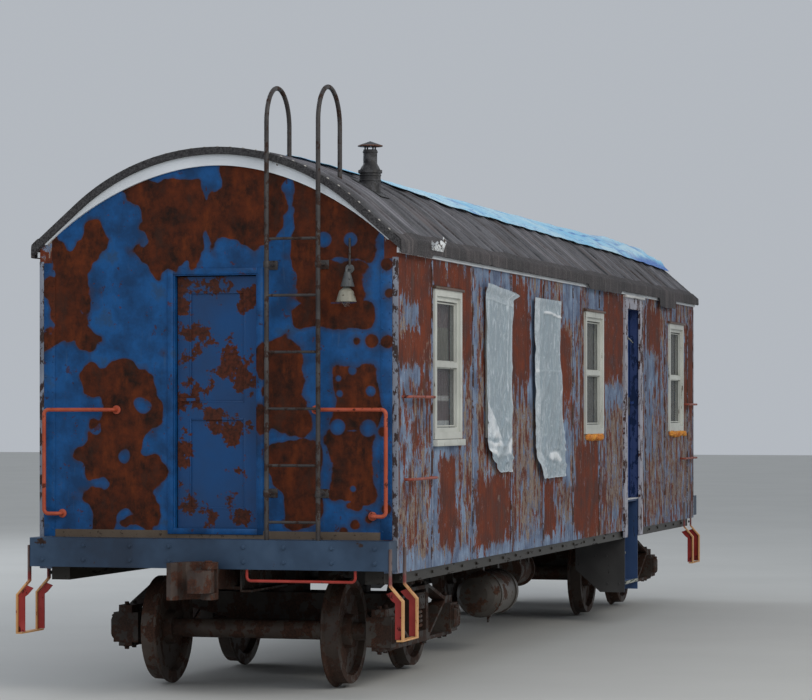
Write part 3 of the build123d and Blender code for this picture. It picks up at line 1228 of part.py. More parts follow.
# Axle boxes held between the bars
with BuildPart() as axle_boxes:
    for _, side in SIDES:
        for sign in (-1, 1):
            box_x = sign * WHEELBASE / 2
            with Locations((box_x, side * JOURNAL_CENTRE, AXLE_HEIGHT)):
                Box(BOX_LENGTH, BOX_WIDTH, BOX_HEIGHT)
            with Locations((box_x, side * (JOURNAL_CENTRE + BOX_WIDTH / 2 + 7), AXLE_HEIGHT + 5)):
                Box(BOX_LENGTH - 40, 14, BOX_HEIGHT - 50)
            inner_face = JOURNAL_CENTRE - BOX_WIDTH / 2
            with BuildSketch(Plane.XZ.offset(-side * (inner_face - 1))):
                with Locations((box_x, AXLE_HEIGHT)):
                    Circle(JOURNAL_RADIUS + SEAT)
            extrude(amount=-side * (BOX_WIDTH + 1 - BOX_WALL), mode=Mode.SUBTRACT)
for end_name, end in ENDS:
    boxes = Pos(end * BOGIE_CENTRE, 0, 0) * axle_boxes.part
    boxes.label = f"axle_boxes_{end_name}"
    export_step(boxes, f"parts/axle_boxes_{end_name}.step")

# Brake beams with a shoe at each wheel
RIM_OUTER = BACK_TO_BACK / 2 + RIM_WIDTH
with BuildPart() as bogie_brakes:
    shoe_y = RIM_OUTER - SHOE_WIDTH / 2 - 11
    face_radius = TREAD_RADIUS + CLEAR
    shoe_back = WHEELBASE / 2 - face_radius - SHOE_THICKNESS
    for sign in (-1, 1):
        beam_x = sign * (shoe_back - BRAKE_BEAM_SIZE / 2)
        with Locations((beam_x, 0, PLANK_TOP + BRAKE_BEAM_SIZE / 2)):
            Box(BRAKE_BEAM_SIZE, 2 * (shoe_y + SHOE_WIDTH / 2), BRAKE_BEAM_SIZE)
        for _, side in SIDES:
            with Locations((sign * (shoe_back + SHOE_THICKNESS / 2), side * shoe_y, AXLE_HEIGHT)):
                Box(SHOE_THICKNESS + 24, SHOE_WIDTH, SHOE_HEIGHT)
        with BuildSketch(Plane.XZ):
            with Locations((sign * WHEELBASE / 2, AXLE_HEIGHT)):
                Circle(face_radius)
        extrude(amount=BODY_WIDTH, both=True, mode=Mode.SUBTRACT)
for end_name, end in ENDS:
    brakes = Pos(end * BOGIE_CENTRE, 0, 0) * bogie_brakes.part
    brakes.label = f"bogie_brakes_{end_name}"
    export_step(brakes, f"parts/bogie_brakes_{end_name}.step")

# Wheelsets: two flanged wheels on one axle, turned as one piece
with BuildPart() as wheelset:
    back = BACK_TO_BACK / 2
    web_y = back + RIM_WIDTH / 2
    rim_radius = TREAD_RADIUS - RIM_DEPTH
    half_profile = (  # Y, radius
        (back - HUB_PROUD, AXLE_RADIUS),
        (back - HUB_PROUD, HUB_RADIUS - 12),
        (web_y - WEB_THICKNESS / 2, HUB_RADIUS),
        (web_y - WEB_THICKNESS / 2, rim_radius - 10),
        (back, rim_radius),
        (back, FLANGE_RADIUS - 8),
        (back + 8, FLANGE_RADIUS),
        (back + 18, FLANGE_RADIUS - 2),
        (back + FLANGE_WIDTH, TREAD_RADIUS),
        (RIM_OUTER, TREAD_RADIUS - 4),
        (RIM_OUTER, rim_radius),
        (web_y + WEB_THICKNESS / 2, rim_radius - 10),
        (web_y + WEB_THICKNESS / 2, HUB_RADIUS),
        (RIM_OUTER + HUB_PROUD, HUB_RADIUS - 12),
        (RIM_OUTER + HUB_PROUD, AXLE_RADIUS),
        (JOURNAL_CENTRE - BOX_WIDTH / 2 - 15, AXLE_RADIUS),
        (JOURNAL_CENTRE - BOX_WIDTH / 2 - 15, JOURNAL_RADIUS),
        (JOURNAL_CENTRE + BOX_WIDTH / 2 - BOX_WALL - CLEAR, JOURNAL_RADIUS),
    )
    with BuildSketch(Plane.YZ):
        with BuildLine():
            rim_points = [(y, AXLE_HEIGHT + radius) for y, radius in half_profile]
            far_y = half_profile[-1][0]
            mirrored = [flip(point) for point in rim_points[::-1]]
            Polyline((-far_y, AXLE_HEIGHT), *mirrored, *rim_points, (far_y, AXLE_HEIGHT), close=True)
        make_face()
    revolve(axis=Axis((0, 0, AXLE_HEIGHT), (0, 1, 0)))
for end_name, end in ENDS:
    for number, sign in ((1, -1), (2, 1)):
        axle_x = end * BOGIE_CENTRE + sign * WHEELBASE / 2
        placed = Pos(axle_x, 0, 0) * wheelset.part
        placed.label = f"wheelset_{end_name}{number}"
        export_step(placed, f"parts/wheelset_{end_name}{number}.step")
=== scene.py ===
import json
import logging
import math
import random
from dataclasses import dataclass, field
from enum import Enum
from typing import Callable, Iterable, Protocol, Sequence

import bpy
from mathutils import Matrix, Vector, noise


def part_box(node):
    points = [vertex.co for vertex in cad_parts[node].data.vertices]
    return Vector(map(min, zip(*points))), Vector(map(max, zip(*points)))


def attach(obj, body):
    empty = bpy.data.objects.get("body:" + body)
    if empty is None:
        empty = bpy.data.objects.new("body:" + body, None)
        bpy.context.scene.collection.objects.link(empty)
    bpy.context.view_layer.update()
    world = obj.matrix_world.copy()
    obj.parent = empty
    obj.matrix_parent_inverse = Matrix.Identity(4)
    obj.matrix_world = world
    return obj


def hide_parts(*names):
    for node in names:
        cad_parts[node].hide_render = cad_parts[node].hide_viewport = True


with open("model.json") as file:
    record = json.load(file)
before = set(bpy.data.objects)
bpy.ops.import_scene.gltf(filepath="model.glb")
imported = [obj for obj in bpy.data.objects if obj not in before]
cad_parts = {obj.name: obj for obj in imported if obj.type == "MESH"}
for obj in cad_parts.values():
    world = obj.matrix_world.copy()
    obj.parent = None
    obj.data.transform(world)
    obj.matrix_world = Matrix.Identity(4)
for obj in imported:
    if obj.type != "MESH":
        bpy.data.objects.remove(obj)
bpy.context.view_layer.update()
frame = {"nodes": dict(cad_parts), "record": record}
LOG = logging.getLogger("dynamometer_car")

Pair = tuple[float, float]
Triple = tuple[float, float, float]
Point = Triple
Zone = tuple[float, float, float, float]
Tone = tuple[int, int, int]
Socket = bpy.types.NodeSocket
Piece = bpy.types.Object
Material = bpy.types.Material

HALF_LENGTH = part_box("side_wall_left")[1].x
HALF_WIDTH = -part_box("side_wall_left")[0].y
FLOOR_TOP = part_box("floor")[1].z
BOGIE_MIDDLES = {name: sum(corner.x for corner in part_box(f"bogie_frame_{name}")) / 2 for name in "ab"}
WINDOW_MIDDLES = [inset - HALF_LENGTH for inset in (1.453, 3.140, 4.976, 6.990, 11.310)]
WINDOW_LOW, WINDOW_HIGH = (corner.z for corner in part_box("window_frames_left"))
WINDOW_WIDTH = 0.840
DOOR_MIDDLE = 8.910 - HALF_LENGTH
# The worn areas of the walls are given by their heights above the foot of the treads, the pieces by their heights
# above the flange tips, which are this much lower.
TREAD_FOOT = 0.028
# The roof's boards are bent to this radius up to the reach, and run on straight to the eaves. Their top and the top
# of the raised bands are given by how far they stand outside the boards' underside.
ROOF_RADIUS = 1.680
ROOF_REACH = 1.100
ROOF_RISE = 0.055
RIB_RISE = 0.069
RIB_PITCH = 0.470
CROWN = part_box("roof")[1].z - RIB_RISE
# Half the size of a patch in a direction that it leaves free.
FREE = 9.0


class Face(Enum):
    """Two opposite faces of the car, by the sign of the axis that they look along."""

    @property
    def label(self) -> str:
        """The face's name as the CAD nodes use it."""
        return self.name.lower()


class Side(Face):
    """The two long sides, by the sign of Y."""

    LEFT = -1
    RIGHT = 1

    @property
    def outward(self) -> Point:
        """The direction that the side looks in."""
        return 0, self.value, 0

    def y(self, out: float) -> float:
        """Y of a plane that far outside the side's sheathing."""
        return self.value * (HALF_WIDTH + out)


class End(Face):
    """The two ends, by the sign of X."""

    A = -1
    B = 1

    @property
    def outward(self) -> Point:
        """The direction that the end looks in."""
        return self.value, 0, 0

    def x(self, out: float) -> float:
        """X of a plane that far outside the end's sheet."""
        return self.value * (HALF_LENGTH + out)


class Axis(Enum):
    """The axis across which a second coat of paint begins."""

    X = "x"
    Y = "y"
    Z = "z"


class Wave(Enum):
    """How a noise is stretched: even blotches, upright flakes or tall streaks, or runs along or across the car."""

    EVEN = (1.0, 1.0, 1.0)
    FLAKED = (2.0, 2.0, 1.0)
    TALL = (9.0, 9.0, 1.0)
    ALONG = (1.0, 9.0, 9.0)
    ACROSS = (9.0, 1.0, 1.0)


def linear(tone: Tone) -> tuple[float, float, float, float]:
    """Turn a colour as a painter reads it, 0 to 255, into the light values of the shader."""
    share = [value / 255 for value in tone]
    red, green, blue = [v / 12.92 if v <= 0.04045 else ((v + 0.055) / 1.055) ** 2.4 for v in share]
    return red, green, blue, 1.0


def darker(tone: Tone, share: float) -> Tone:
    """A tone with only a share of its light."""
    return tuple(int(value * share) for value in tone)


class Graph:
    """One material's node tree, with short calls for the nodes that the finishes share."""

    def __init__(self, name: str) -> None:
        """Start an empty material with a Principled shader and object coordinates."""
        self.material = bpy.data.materials.new(name)
        self.material.use_nodes = True
        self.tree = self.material.node_tree
        self.tree.nodes.clear()
        output = self.tree.nodes.new("ShaderNodeOutputMaterial")
        self.shader = self.tree.nodes.new("ShaderNodeBsdfPrincipled")
        self.tree.links.new(self.shader.outputs["BSDF"], output.inputs["Surface"])
        self.place = self.tree.nodes.new("ShaderNodeTexCoord").outputs["Object"]
        self.x, self.y, self.z = self.split(self.place)

    def feed(self, socket: Socket, value: object) -> None:
        """Link a socket to an output, or set its value."""
        if isinstance(value, bpy.types.NodeSocket):
            self.tree.links.new(value, socket)
        else:
            socket.default_value = value

    def calc(self, operation: str, first: object, second: object = 0.0, third: object = 0.0) -> Socket:
        """One step of arithmetic on numbers or outputs, by the Math node's operation."""
        node = self.tree.nodes.new("ShaderNodeMath")
        node.operation = operation
        for socket, value in zip(node.inputs, (first, second, third)):
            self.feed(socket, value)
        return node.outputs[0]

    def vector(self, operation: str, first: object, second: object = (0.0, 0.0, 0.0)) -> Socket:
        """One step of vector arithmetic on two vectors or outputs, and the vector that comes out."""
        node = self.tree.nodes.new("ShaderNodeVectorMath")
        node.operation = operation
        self.feed(node.inputs[0], first)
        self.feed(node.inputs[1], second)
        return node.outputs["Value"] if operation in ("DISTANCE", "LENGTH") else node.outputs["Vector"]

    def blotches(self, scale: float, wave: Wave = Wave.EVEN, detail: float = 4.0, rough: float = 0.6,
                 shift: float = 0.0, swirl: float = 0.0, at: Socket | None = None) -> Socket:
        """A noise over the object.

        Args:
            scale: Blotches per metre along the longest direction.
            wave: How the blotches are stretched.
            detail: Octaves.
            rough: Strength of the fine octaves.
            shift: Moves the pattern, so that two layers differ.
            swirl: Distortion.
            at: Where the noise is read, the point itself if nothing is given.

        Returns:
            The noise, about 0.25 to 0.75.
        """
        stretched = self.vector("MULTIPLY", at or self.place, wave.value)
        moved = self.vector("ADD", stretched, (shift, shift * 1.7, -shift))
        node = self.tree.nodes.new("ShaderNodeTexNoise")
        self.feed(node.inputs["Vector"], moved)
        node.inputs["Scale"].default_value = scale
        node.inputs["Detail"].default_value = detail
        node.inputs["Roughness"].default_value = rough
        node.inputs["Distortion"].default_value = swirl
        return node.outputs[0]

    def ramp(self, value: object, start: float, stop: float, low: float = 0.0, high: float = 1.0) -> Socket:
        """Spread a value from start to stop over low to high, held at both ends."""
        node = self.tree.nodes.new("ShaderNodeMapRange")
        inputs = {"Value": value, "From Min": start, "From Max": stop, "To Min": low, "To Max": high}
        for name, item in inputs.items():
            self.feed(node.inputs[name], item)
        return node.outputs[0]

    def blend(self, share: object, under: object, over: object) -> Socket:
        """Mix two colours or outputs by a share from 0 to 1."""
        node = self.tree.nodes.new("ShaderNodeMix")
        node.data_type = "RGBA"
        for index, value in ((0, share), (6, under), (7, over)):
            self.feed(node.inputs[index], linear(value) if isinstance(value, tuple) and len(value) == 3 else value)
        return node.outputs[2]

    def tint(self, colour: object, value: Socket, start: float, stop: float, share: float, tone: object) -> Socket:
        """Lay a tone over a colour, up to a share, as a value goes from start to stop."""
        return self.blend(self.ramp(value, start, stop, 0.0, share), colour, tone)

    def swing(self, pattern: Socket, amount: object, base: object = 0.0) -> Socket:
        """Add a pattern to a base, counted from the pattern's middle, times an amount."""
        return self.calc("MULTIPLY_ADD", self.calc("SUBTRACT", pattern, 0.5), amount, base)

    def weigh(self, base: object, *parts: tuple[object, object]) -> Socket:
        """Add to a base each of the parts times its weight."""
        for part, weight in parts:
            base = self.calc("MULTIPLY_ADD", part, weight, base)
        return base

    def gap(self, first: object, second: object) -> Socket:
        """How far apart two values are."""
        return self.calc("ABSOLUTE", self.calc("SUBTRACT", first, second))

    def split(self, vector: Socket) -> tuple[Socket, Socket, Socket]:
        """The three parts of a vector."""
        node = self.tree.nodes.new("ShaderNodeSeparateXYZ")
        self.feed(node.inputs[0], vector)
        return tuple(node.outputs)

    def dice(self, steps: Socket) -> Socket:
        """A random number, 0 to 1, that changes at every whole step."""
        node = self.tree.nodes.new("ShaderNodeTexWhiteNoise")
        node.noise_dimensions = "1D"
        self.feed(node.inputs["W"], self.calc("FLOOR", steps))
        return node.outputs["Value"]

    def patch(self, middle: Point, half: Point, corner: float = 0.0) -> Socket:
        """How far a point is outside an upright rectangle, by its half sizes and corners' radius, negative inside."""
        away = self.vector("ABSOLUTE", self.vector("SUBTRACT", self.place, middle))
        past = self.vector("SUBTRACT", away, tuple(size - corner for size in half))
        along, across, up = self.split(past)
        inside = self.calc("MAXIMUM", self.calc("MAXIMUM", along, up), across)
        if not corner:
            return inside
        outside = self.vector("LENGTH", self.vector("MAXIMUM", past, (0.0, 0.0, 0.0)))
        return self.calc("SUBTRACT", self.calc("ADD", outside, self.calc("MINIMUM", inside, 0.0)), corner)

    def boards(self, width: float) -> tuple[Socket, Socket, Socket]:
        """Upright boards: each one's random number, how near its seam is (0.5 on it), and places moved by board."""
        steps = self.calc("DIVIDE", self.x, width)
        dice = self.dice(steps)
        node = self.tree.nodes.new("ShaderNodeCombineXYZ")
        for socket, value in zip(node.inputs, (self.x, self.y, self.weigh(self.z, (dice, 3.0)))):
            self.feed(socket, value)
        return dice, self.gap(self.calc("FRACT", steps), 0.5), node.outputs[0]

    def painted(self, name: str) -> Socket:
        """The value that a piece carries on its own points under this name."""
        node = self.tree.nodes.new("ShaderNodeAttribute")
        node.attribute_name = name
        return node.outputs["Fac"]

    def nearest(self, distances: Sequence[Socket]) -> Socket:
        """The smallest of several distances, which is the distance to their union."""
        found = distances[0]
        for distance in distances[1:]:
            found = self.calc("MINIMUM", found, distance)
        return found

    def relief(self, height: object, depth: float, strength: float = 0.6) -> Socket:
        """Bump from a height, with its depth in metres."""
        node = self.tree.nodes.new("ShaderNodeBump")
        node.inputs["Strength"].default_value = strength
        node.inputs["Distance"].default_value = depth
        self.feed(node.inputs["Height"], height)
        return node.outputs["Normal"]

    def close(self, colour: object, roughness: object, normal: Socket | None = None, metallic: float = 0.0,
              **plain: float) -> Material:
        """Feed the shader and hand over the material.

        Args:
            colour: Base colour or its output.
            roughness: Roughness or its output.
            normal: Output of a bump, if any.
            metallic: Metallic share.
            **plain: Further shader sockets by name with underscores, as plain numbers.

        Returns:
            The finished material.
        """
        self.feed(self.shader.inputs["Base Color"], linear(colour) if isinstance(colour, tuple) else colour)
        self.feed(self.shader.inputs["Roughness"], roughness)
        self.shader.inputs["Metallic"].default_value = metallic
        for name, value in plain.items():
            self.shader.inputs[name.replace("_", " ")].default_value = value
        if normal is not None:
            self.tree.links.new(normal, self.shader.inputs["Normal"])
        return self.material


class Finish(Protocol):
    """What every finish has: its material's name, and the way to build it."""

    name: str

    def build(self) -> Material:
        """Build the material."""


@dataclass(frozen=True)
class PeelingBoards:
    """Rust-brown paint over blue-grey paint over bare sheathing, peeled in tall flecks."""

    name: str
    top: Tone = (132, 62, 36)
    top_dark: Tone = (84, 38, 24)
    top_grain: Tone = (58, 34, 30)
    top_spark: Tone = (160, 156, 158)
    top_rim: Tone = (148, 112, 98)
    under: Tone = (134, 153, 178)
    under_dark: Tone = (84, 97, 124)
    under_chalk: Tone = (166, 172, 186)
    under_grain: Tone = (92, 80, 76)
    bare: Tone = (156, 140, 126)
    bare_dark: Tone = (102, 82, 72)
    dirt: Tone = (78, 64, 58)
    seam: Tone = (40, 32, 30)
    board: float = 0.083
    kept: tuple[Zone, ...] = (
        (1.24, 1.69, 1.07, 1.80), (2.37, 3.58, 1.05, 1.60), (4.86, 5.30, 1.03, 1.54), (6.12, 7.24, 0.96, 1.83),
        (0.00, 0.93, 3.00, 3.40), (7.50, 8.40, 2.47, 3.30), (9.50, 10.4, 2.80, 3.22), (1.70, 2.25, 2.60, 3.35),
        (3.70, 4.40, 2.45, 3.25), (0.00, 0.93, 2.50, 2.80), (0.60, 0.93, 2.30, 3.30), (1.00, 1.75, 3.14, 3.38),
        (5.60, 6.00, 2.10, 2.90), (11.9, 12.4, 2.2, 3.1),
    )
    blue: tuple[Zone, ...] = (
        (5.70, 6.45, 3.02, 3.38), (6.80, 7.50, 3.10, 3.37), (2.40, 3.55, 3.22, 3.38), (0.34, 0.60, 2.76, 3.02),
        (0.04, 0.80, 2.38, 2.52), (1.05, 1.80, 1.80, 1.93), (0.00, 6.60, 0.90, 1.03), (7.55, 8.35, 2.26, 2.42),
        (1.00, 1.20, 1.10, 1.80), (9.65, 10.0, 1.70, 2.80), (4.30, 4.50, 2.30, 3.20), (2.30, 2.42, 1.0, 3.3),
        (5.70, 5.95, 1.50, 2.30),
    )
    worn: tuple[Zone, ...] = (
        (0.00, 1.10, 0.95, 1.50), (2.02, 2.66, 1.55, 2.35), (3.66, 4.48, 1.10, 2.25), (7.60, 8.40, 1.20, 2.10),
        (9.45, 12.2, 1.10, 2.05), (4.20, 4.80, 1.00, 1.60), (5.35, 6.05, 1.05, 1.90),
    )

    def _zones(self, graph: Graph, zones: Sequence[Zone], ragged: Socket) -> Socket:
        """Share of a point inside the zones, by lengths from the A end and heights over the treads' foot."""
        found = []
        for start, stop, low, high in zones:
            middle = ((start + stop) / 2 - HALF_LENGTH, 0.0, (low + high) / 2 + TREAD_FOOT)
            found.append(graph.patch(middle, ((stop - start) / 2, FREE, (high - low) / 2)))
        return graph.ramp(graph.swing(ragged, 0.60, graph.nearest(found)), 0.07, -0.07)

    def build(self) -> Material:
        """Lay the three coats and return the material."""
        graph = Graph(self.name)
        board, seam, moved = graph.boards(self.board)

        def flakes(scale: float, detail: float, rough: float, shift: float) -> Socket:
            """A flaked noise that breaks at every board."""
            return graph.blotches(scale, Wave.FLAKED, detail, rough, shift, at=moved)

        ragged = flakes(2.8, 6.0, 0.68, 3.1)
        fleck = flakes(17.0, 5.0, 0.78, 9.0)
        spark = graph.blotches(21.0, Wave.FLAKED, detail=6.0, rough=0.80, shift=19.0)
        spark = graph.swing(flakes(1.9, 3.0, 0.6, 23.0), 0.35, spark)
        kept, blue, worn = [self._zones(graph, zones, ragged) for zones in (self.kept, self.blue, self.worn)]
        loose = graph.swing(fleck, graph.weigh(0.42, (worn, 0.34)))
        edge = graph.ramp(seam, 0.30, 0.5, 0.0, 0.05)
        by_board = graph.calc("SUBTRACT", graph.swing(board, 0.10), edge)
        top = graph.calc("ADD", graph.calc("ADD", flakes(4.2, 7.0, 0.70, 0.0), loose), by_board)
        top = graph.weigh(top, (kept, 0.20), (blue, -0.15), (worn, -0.020))
        has_top = graph.ramp(top, 0.486, 0.500)
        lower = graph.weigh(graph.calc("ADD", flakes(3.0, 7.0, 0.72, 5.7), loose), (blue, 0.22), (worn, -0.055))
        has_under = graph.ramp(lower, 0.458, 0.474)
        shade = graph.ramp(graph.blotches(5.0, detail=6.0, shift=2.0), 0.35, 0.65)
        grain = graph.blotches(13.0, Wave.TALL, detail=4.0, rough=0.75, shift=1.0)
        wood = graph.blend(graph.ramp(grain, 0.38, 0.60), self.bare_dark, self.bare)
        old = graph.blend(shade, self.under_dark, self.under)
        old = graph.tint(old, fleck, 0.58, 0.66, 0.8, self.under_chalk)
        old = graph.tint(old, grain, 0.60, 0.70, 0.45, self.under_grain)
        new = graph.blend(shade, self.top_dark, self.top)
        new = graph.tint(new, grain, 0.64, 0.54, 0.30, self.top_grain)
        new = graph.tint(new, spark, 0.640, 0.672, 0.80, self.top_spark)
        new = graph.tint(new, top, 0.522, 0.500, 0.55, self.top_rim)
        colour = graph.blend(has_top, graph.blend(has_under, wood, old), new)
        colour = graph.tint(colour, flakes(1.6, 5.0, 0.6, 12.0), 0.54, 0.68, 0.50, self.dirt)
        colour = graph.tint(colour, seam, 0.455, 0.49, 0.55, self.seam)
        height = graph.calc("ADD", graph.calc("MULTIPLY", has_top, 0.5), graph.calc("MULTIPLY", has_under, 0.4))
        height = graph.calc("ADD", graph.weigh(height, (grain, 0.5)), graph.ramp(seam, 0.46, 0.5, 0.0, -1.4))
        rough = graph.ramp(shade, 0.0, 1.0, 0.66, 0.90)
        return graph.close(colour, rough, graph.relief(height, 0.0022, 0.8), Specular_IOR_Level=0.22)


@dataclass(frozen=True)
class RustedSheet:
    """Bright blue paint on sheet steel, rusted through in broad round-cornered areas."""

    name: str
    end: End
    paint: Tone = (18, 82, 140)
    paint_dark: Tone = (12, 56, 98)
    paint_runs: Tone = (70, 92, 116)
    paint_dull: Tone = (44, 64, 84)
    paint_rim: Tone = (48, 46, 62)
    rust: Tone = (92, 40, 17)
    rust_dark: Tone = (34, 18, 11)
    rust_bright: Tone = (116, 53, 19)
    rust_old: Tone = (52, 34, 26)
    corner: float = 0.085
    areas: tuple[Zone, ...] = (
        (0.17, 0.80, 3.30, 4.30), (0.25, 0.80, 2.97, 3.32), (0.19, 0.80, 2.81, 2.99), (0.16, 0.52, 2.00, 2.52),
        (0.17, 0.56, 1.46, 2.02), (0.28, 0.42, 1.39, 1.48), (0.58, 0.95, 1.30, 1.90), (0.70, 1.10, 2.00, 2.70),
        (0.90, 1.50, 3.30, 4.20), (1.90, 2.50, 1.30, 2.50), (2.40, 2.90, 2.60, 3.60), (1.55, 2.10, 3.28, 4.00),
    )
    islands: tuple[Triple, ...] = (
        (0.574, 3.461, 0.055), (0.365, 3.461, 0.050), (0.350, 2.468, 0.040), (0.462, 2.406, 0.024),
        (0.452, 2.290, 0.034), (0.209, 2.309, 0.034), (0.468, 2.038, 0.058), (0.229, 2.028, 0.064),
        (0.346, 1.568, 0.026), (2.20, 1.80, 0.060), (2.05, 2.20, 0.050),
    )
    spots: tuple[Triple, ...] = (
        (0.199, 2.685, 0.038), (0.320, 2.687, 0.022), (0.078, 2.677, 0.034), (0.078, 3.270, 0.040),
        (0.110, 2.000, 0.030), (0.330, 1.300, 0.040), (0.220, 1.340, 0.030), (0.420, 1.240, 0.034),
        (0.080, 1.420, 0.030), (0.060, 3.050, 0.030),
    )

    def _round(self, graph: Graph, spots: Sequence[Triple]) -> Socket:
        """Distance from the nearest spot, by its inset from the left corner, height over the treads' foot, radius."""
        found = []
        for inset, height, radius in spots:
            centre = (self.end.x(0.0), inset - HALF_WIDTH, height + TREAD_FOOT)
            found.append(graph.calc("SUBTRACT", graph.vector("DISTANCE", graph.place, centre), radius))
        return graph.nearest(found)

    def _rusted(self, graph: Graph) -> Socket:
        """Distance from the rusted areas, with wavy edges, less their islands of paint, and their spots besides."""
        bend = graph.blotches(3.2, detail=2.0, rough=0.45, shift=4.0 + self.end.value)
        ragged = graph.blotches(22.0, detail=4.0, shift=6.0)
        found = []
        for start, stop, low, high in self.areas:
            middle = (0.0, (start + stop) / 2 - HALF_WIDTH, (low + high) / 2 + TREAD_FOOT)
            half = (FREE, (stop - start) / 2, (high - low) / 2)
            found.append(graph.patch(middle, half, min(self.corner, half[1] * 0.95, half[2] * 0.95)))
        calm = graph.ramp(graph.y, 0.65 - HALF_WIDTH, 1.0 - HALF_WIDTH, 0.22, 0.85)
        waves = graph.swing(ragged, 0.030, graph.swing(bend, calm))
        kept = graph.weigh(self._round(graph, self.islands), (waves, 0.25))
        area = graph.calc("ADD", graph.nearest(found), waves)
        area = graph.calc("MAXIMUM", area, graph.calc("MULTIPLY", kept, -1.0))
        return graph.calc("MINIMUM", area, graph.weigh(self._round(graph, self.spots), (waves, 0.45)))

    def build(self) -> Material:
        """Rust the sheet and return the material."""
        graph = Graph(self.name)
        area = self._rusted(graph)
        specks = graph.ramp(graph.blotches(15.0, detail=4.0, rough=0.7, shift=8.0), 0.635, 0.66)
        bare = graph.calc("MAXIMUM", graph.ramp(area, 0.005, -0.005), graph.calc("MULTIPLY", specks, 0.7))
        shade = graph.ramp(graph.blotches(7.0, detail=7.0, rough=0.68), 0.34, 0.68)
        stain = graph.blotches(3.4, Wave.FLAKED, detail=6.0, rough=0.66, shift=14.0)
        rust = graph.blend(shade, self.rust_dark, self.rust)
        rust = graph.tint(rust, stain, 0.52, 0.68, 0.55, self.rust_bright)
        rust = graph.tint(rust, stain, 0.46, 0.34, 0.60, self.rust_old)
        cloud = graph.blotches(4.0, detail=6.0, rough=0.62, shift=11.0)
        runs = graph.blotches(3.0, Wave.TALL, detail=4.0, shift=2.0)
        paint = graph.blend(graph.ramp(cloud, 0.38, 0.60), self.paint_dark, self.paint)
        paint = graph.tint(paint, runs, 0.60, 0.76, 0.30, self.paint_runs)
        paint = graph.tint(paint, cloud, 0.58, 0.68, 0.60, self.paint_dull)
        paint = graph.tint(paint, area, 0.045, 0.0, 0.60, self.paint_rim)
        height = graph.weigh(graph.calc("MULTIPLY", shade, 0.6), (bare, -0.6))
        return graph.close(graph.blend(bare, paint, rust), graph.ramp(bare, 0.0, 1.0, 0.45, 0.88),
                           graph.relief(height, 0.0016, 0.7), Specular_IOR_Level=0.25)


@dataclass(frozen=True)
class WornPaint:
    """A coat of paint over metal or wood, with its patches, runs and grime.

    Each further coat lies on the far side of a plane across one axis.
    """

    name: str
    paint: Tone
    under: Tone
    cover: float = 0.62
    wave: Wave = Wave.EVEN
    scale: float = 6.0
    grime: Tone = (46, 40, 36)
    dirt: float = 0.35
    gloss: float = 0.55
    relief: float = 0.0012
    metallic: float = 0.0
    fade: float = 0.06
    splits: tuple[tuple[Axis, float, float, Tone], ...] = ()
    bleached: Tone = (222, 216, 204)

    def build(self) -> Material:
        """Lay the coats and return the material."""
        graph = Graph(self.name)
        wear = graph.blotches(self.scale, self.wave, detail=6.0, rough=0.64)
        cloud = graph.blotches(self.scale * 0.35, detail=4.0, shift=6.0)
        fine = graph.blotches(self.scale * 9.0, detail=3.0, shift=2.0)
        line = 0.5 - (self.cover - 0.5) * 0.45
        kept = graph.ramp(graph.swing(fine, 0.14, wear), line - 0.012, line + 0.012)
        paint: object = self.paint
        rust = graph.blend(graph.ramp(fine, 0.35, 0.65), self.under, darker(self.under, 0.62))
        places = {Axis.X: graph.x, Axis.Y: graph.calc("ABSOLUTE", graph.y), Axis.Z: graph.z}
        for axis, start, stop, tone in self.splits:
            far = graph.ramp(places[axis], start, stop)
            paint = graph.blend(far, paint, tone)
            rust = graph.blend(far, rust, darker(tone, 0.7))
        light = graph.tint(paint, cloud, 0.3, 0.7, self.fade, self.bleached)
        colour = graph.tint(graph.blend(kept, rust, light), cloud, 0.62, 0.36, self.dirt, self.grime)
        height = graph.weigh(graph.calc("MULTIPLY", fine, 0.5), (kept, 0.6))
        rough = graph.ramp(kept, 0.0, 1.0, 0.86, 1.0 - self.gloss)
        return graph.close(colour, rough, graph.relief(height, self.relief, 0.6), metallic=self.metallic,
                           Specular_IOR_Level=0.3)


